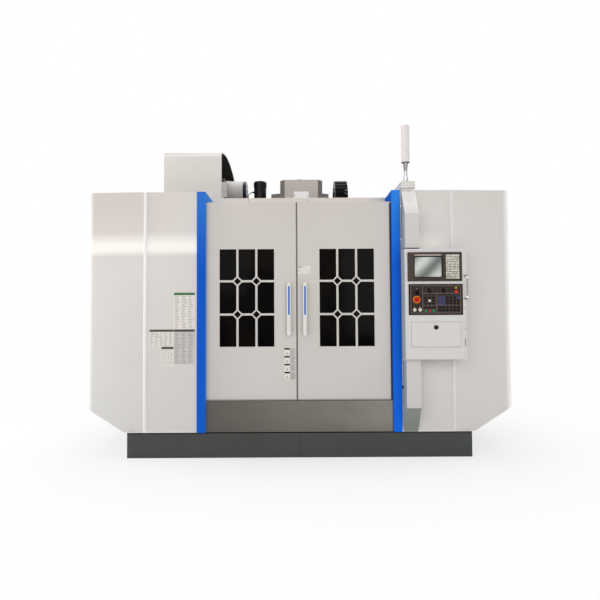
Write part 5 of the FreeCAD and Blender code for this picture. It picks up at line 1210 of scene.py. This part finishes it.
def cable_chain():
    """Linked cable chain from the head's bracket over its loop to the column's bracket."""
    piece = Piece("chain_links", None, "dark_plastic")
    front, rear = span("cable_chain", "Y")
    left, right = span("cable_chain", "X", 0.001)
    centre, radius = (front + rear) / 2, (rear - front) / 2 - CHAIN_THICK / 2
    crown = high("cable_chain", "Z") - (rear - front) / 2
    leg, loop = crown - low("cable_chain", "Z"), math.pi * radius
    for step in range(CHAIN_STEPS):
        along = (step + 0.5) * (2 * leg + loop) / CHAIN_STEPS
        angle = math.pi - min(max(along - leg, 0.0), loop) / radius
        beyond = min(along - leg, 0.0) - max(along - leg - loop, 0.0)
        place = Matrix.Translation((0, centre + radius * math.cos(angle), crown + radius * math.sin(angle) + beyond))
        chain_link(piece, place @ Matrix.Rotation(angle - math.pi / 2, 4, "X"), left, right)
    links = piece.done()
    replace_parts(links, "cable_chain")
    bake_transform(links)


lamp_finish()
lamp_arm()
head_plate()
drive_motor_end()
magazine_shade_lining()
motor_cable()
cable_chain()


# ---------------------------------------------------------------- back and sides

def cabinet_fittings():
    """Louvres, filter fan, main switch and latches on the electrical cabinet's door."""
    piece = Piece("cabinet_fittings", "cabinet_door")
    face = 1.315              # the door's back, where its plate is flat

    def out(rise, sink=0.001):
        """The depth of something that stands out from the door's back."""
        return (face - sink, face + rise)

    for left in (-0.36, 0.10):
        for row in range(11):
            z = 0.50 + row * 0.030
            slat = [(face - 0.001, z), (face + 0.005, z + 0.002), (face + 0.006, z + 0.005),
                    (face - 0.001, z + 0.020)]
            piece.prism("X", slat, (left, left + 0.26), PANEL, 0.0008)
    piece.frame((-0.12, 0.13), out(0.007), (1.70, 1.95), 0.018, GREY, 0.002)
    for row in range(9):
        z = 1.722 + row * 0.0235
        piece.block((-0.102, 0.112), out(0.004), (z, z + 0.012), BLACK, 0.0012)
    piece.block((0.30, 0.40), out(0.003), (1.55, 1.65), KEY, 0.0015)
    piece.lathe("Y", (0.35, face, 1.60), [(0.034, 0.001), (0.034, 0.0045), (0.031, 0.006)], YELLOW, 40)
    piece.block(about(0.350, 0.007), out(0.0095, -0.004), about(1.600, 0.028), RED, 0.002)
    for z in (0.62, 1.25, 1.88):
        piece.block((0.535, 0.560), out(min(0.006, high("cabinet_door", "Y") - face)), about(z, 0.045), GREY, 0.002)
        piece.lathe("Y", (0.5475, face, z), [(0.0095, 0.004), (0.0095, 0.0075), (0.008, 0.009)], CHROME, 24)
    piece.done()


def tank_fittings():
    """Rubber joint between the two coolant tanks, and a sight gauge and a drain cock on each outer side."""
    piece = Piece("tank_fittings", "machine", "plinth_enamel")
    gap = (high("coolant_tank_left", "X") - 0.0002, low("coolant_tank_right", "X") + 0.0002)
    piece.block(gap, span("coolant_tank_left", "Y", 0.004), (0.004, high("coolant_tank_left", "Z") - 0.004),
                RUBBER, 0)
    gauge, cock, ends = -0.97, -0.86, (0.055, 0.145)
    for side in (-1, 1):
        face = side * TANK_END

        def turned(y, z, profile, material, steps):
            """A turned fitting that stands out from the tank's side."""
            piece.lathe("X", (face, y, z), [(radius, side * out) for radius, out in profile], material, steps)

        for level in ends:
            turned(gauge, level, [(0.009, -0.001), (0.009, 0.010), (0.007, 0.012)], BRIGHT, 20)
        piece.block(sorted((face, face + side * 0.009)), about(gauge, 0.007), ends, GREY, 0.002)
        piece.block(sorted((face + side * 0.0085, face + side * 0.0105)), about(gauge, 0.0035), (0.068, 0.132),
                    KEY_PALE, 0.0008)
        turned(cock, 0.045, [(0.019, -0.001), (0.019, 0.006), (0.016, 0.008)], GREY, 32)
        turned(cock, 0.045, [(0.011, 0.007), (0.011, 0.018), (0.0095, 0.0195)], BRIGHT, 6)
    piece.done()


def casting_bolts():
    """Cap screws on the column's two sides and its back."""
    piece = Piece("casting_bolts", "machine", "ground_steel")
    bolt = ((0.014, -0.001), (0.014, 0.003), (0.009, 0.003), (0.009, 0.010), (0.007, 0.012))
    left, right = span("column", "X")
    front, back = span("column", "Y")
    for x, side in ((left, -1), (right, 1)):
        for step in range(4):
            for z in (1.0, 1.5, 2.0):
                piece.lathe("X", (x, front + 0.12 + step * 0.17, z), [(radius, side * out) for radius, out in bolt],
                            BRIGHT, 20)
    for x in (left + 0.06, middle("column", "X"), right - 0.06):
        for z in (0.62, 1.05, 1.55, 2.20):
            piece.lathe("Y", (x, back, z), bolt, BRIGHT, 20)
    piece.done()


cabinet_fittings()
tank_fittings()
casting_bolts()


# ---------------------------------------------------------------- camera, floor and light

def camera():
    """The photograph's view: almost level, a little turned about its own line of sight."""
    lens = bpy.data.cameras.new("camera")
    lens.lens = 31.2
    lens.sensor_width = 36.0
    lens.shift_x = 0.0027
    eye = link(bpy.data.objects.new("camera", lens))
    eye.location = (-0.004, -5.125, 1.067)
    pitch = Matrix.Rotation(math.radians(90 + 1.98), 4, "X")
    roll = Matrix.Rotation(math.radians(-0.3), 4, "Z")
    eye.rotation_euler = (pitch @ roll).to_euler()
    bpy.context.scene.camera = eye


def area_light(name, place, target, width, height, watts):
    """A rectangular lamp that faces a target."""
    lamp = bpy.data.lights.new(name, "AREA")
    lamp.shape = "RECTANGLE"
    lamp.size = width
    lamp.size_y = height
    lamp.energy = watts
    item = link(bpy.data.objects.new(name, lamp))
    item.location = place
    item.rotation_euler = (Vector(target) - Vector(place)).to_track_quat("-Z", "Y").to_euler()


def world():
    """Even studio light; straight and mirrored views see white."""
    made = bpy.data.worlds.new("studio")
    bpy.context.scene.world = made
    made.use_nodes = True
    nodes = Nodes(made.node_tree)
    nodes.tree.nodes.clear()
    path = nodes.node("ShaderNodeLightPath").outputs
    mirrored = nodes.math("MAXIMUM", path["Is Glossy Ray"], path["Is Transmission Ray"])
    seen = nodes.math("MAXIMUM", path["Is Camera Ray"], mirrored)
    dim, bright = (nodes.node("ShaderNodeBackground", Color=(1.0, 1.0, 1.0, 1.0), Strength=strength)
                   for strength in (0.41, 1.0))
    out = nodes.node("ShaderNodeOutputWorld")
    nodes.join(nodes.blend(seen, dim.outputs["Background"], bright.outputs["Background"]), out.inputs["Surface"])


def floor():
    """A pale floor that keeps the shadow near the machine and fades to white away from it."""
    made = Recipe("floor_paint", (245.81, 245.81, 245.81), 0.7, specular=0.2)
    glow = made.node("ShaderNodeEmission", Strength=1.0)
    away = made.node("ShaderNodeVectorMath", operation="LENGTH")
    made.join(made.coordinates((1.0, 1.0, 0.0)), away.inputs[0])
    far = made.ramp(away.outputs["Value"], 1.2, 3.4, 0.6, 1.0)
    share = made.both(far, made.node("ShaderNodeLightPath").outputs["Is Camera Ray"])
    made.join(made.blend(share, made.shader.outputs["BSDF"], glow.outputs["Emission"]),
              made.tree.nodes["Material Output"].inputs["Surface"])
    mesh = bpy.data.meshes.new("floor")
    reach = 60.0
    mesh.from_pydata([(-reach, -reach, 0), (reach, -reach, 0), (reach, reach, 0), (-reach, reach, 0)], [],
                     [(0, 1, 2, 3)])
    mesh.materials.append(made.material)
    link(bpy.data.objects.new("floor", mesh))


camera()
world()
floor()
area_light("key", (-2.6, -6.2, 3.0), (0, -1.0, 1.1), 4.0, 3.0, 85)
area_light("fill", (2.2, -6.4, 2.2), (0, -1.0, 1.0), 3.0, 3.0, 81)
area_light("top", (0.0, 0.5, 5.6), (0, 0.2, 0), 4.0, 4.0, 160)
area_light("back", (0.0, 6.0, 4.0), (0, 0.5, 1.2), 4.0, 3.0, 115)
area_light("left edge", (-5.5, -1.6, 1.3), (-1.6, -1.1, 1.1), 2.0, 2.0, 104)
area_light("right edge", (5.5, -1.6, 1.3), (1.6, -1.1, 1.1), 2.0, 2.0, 40)
bpy.context.scene.view_settings.view_transform = "Standard"
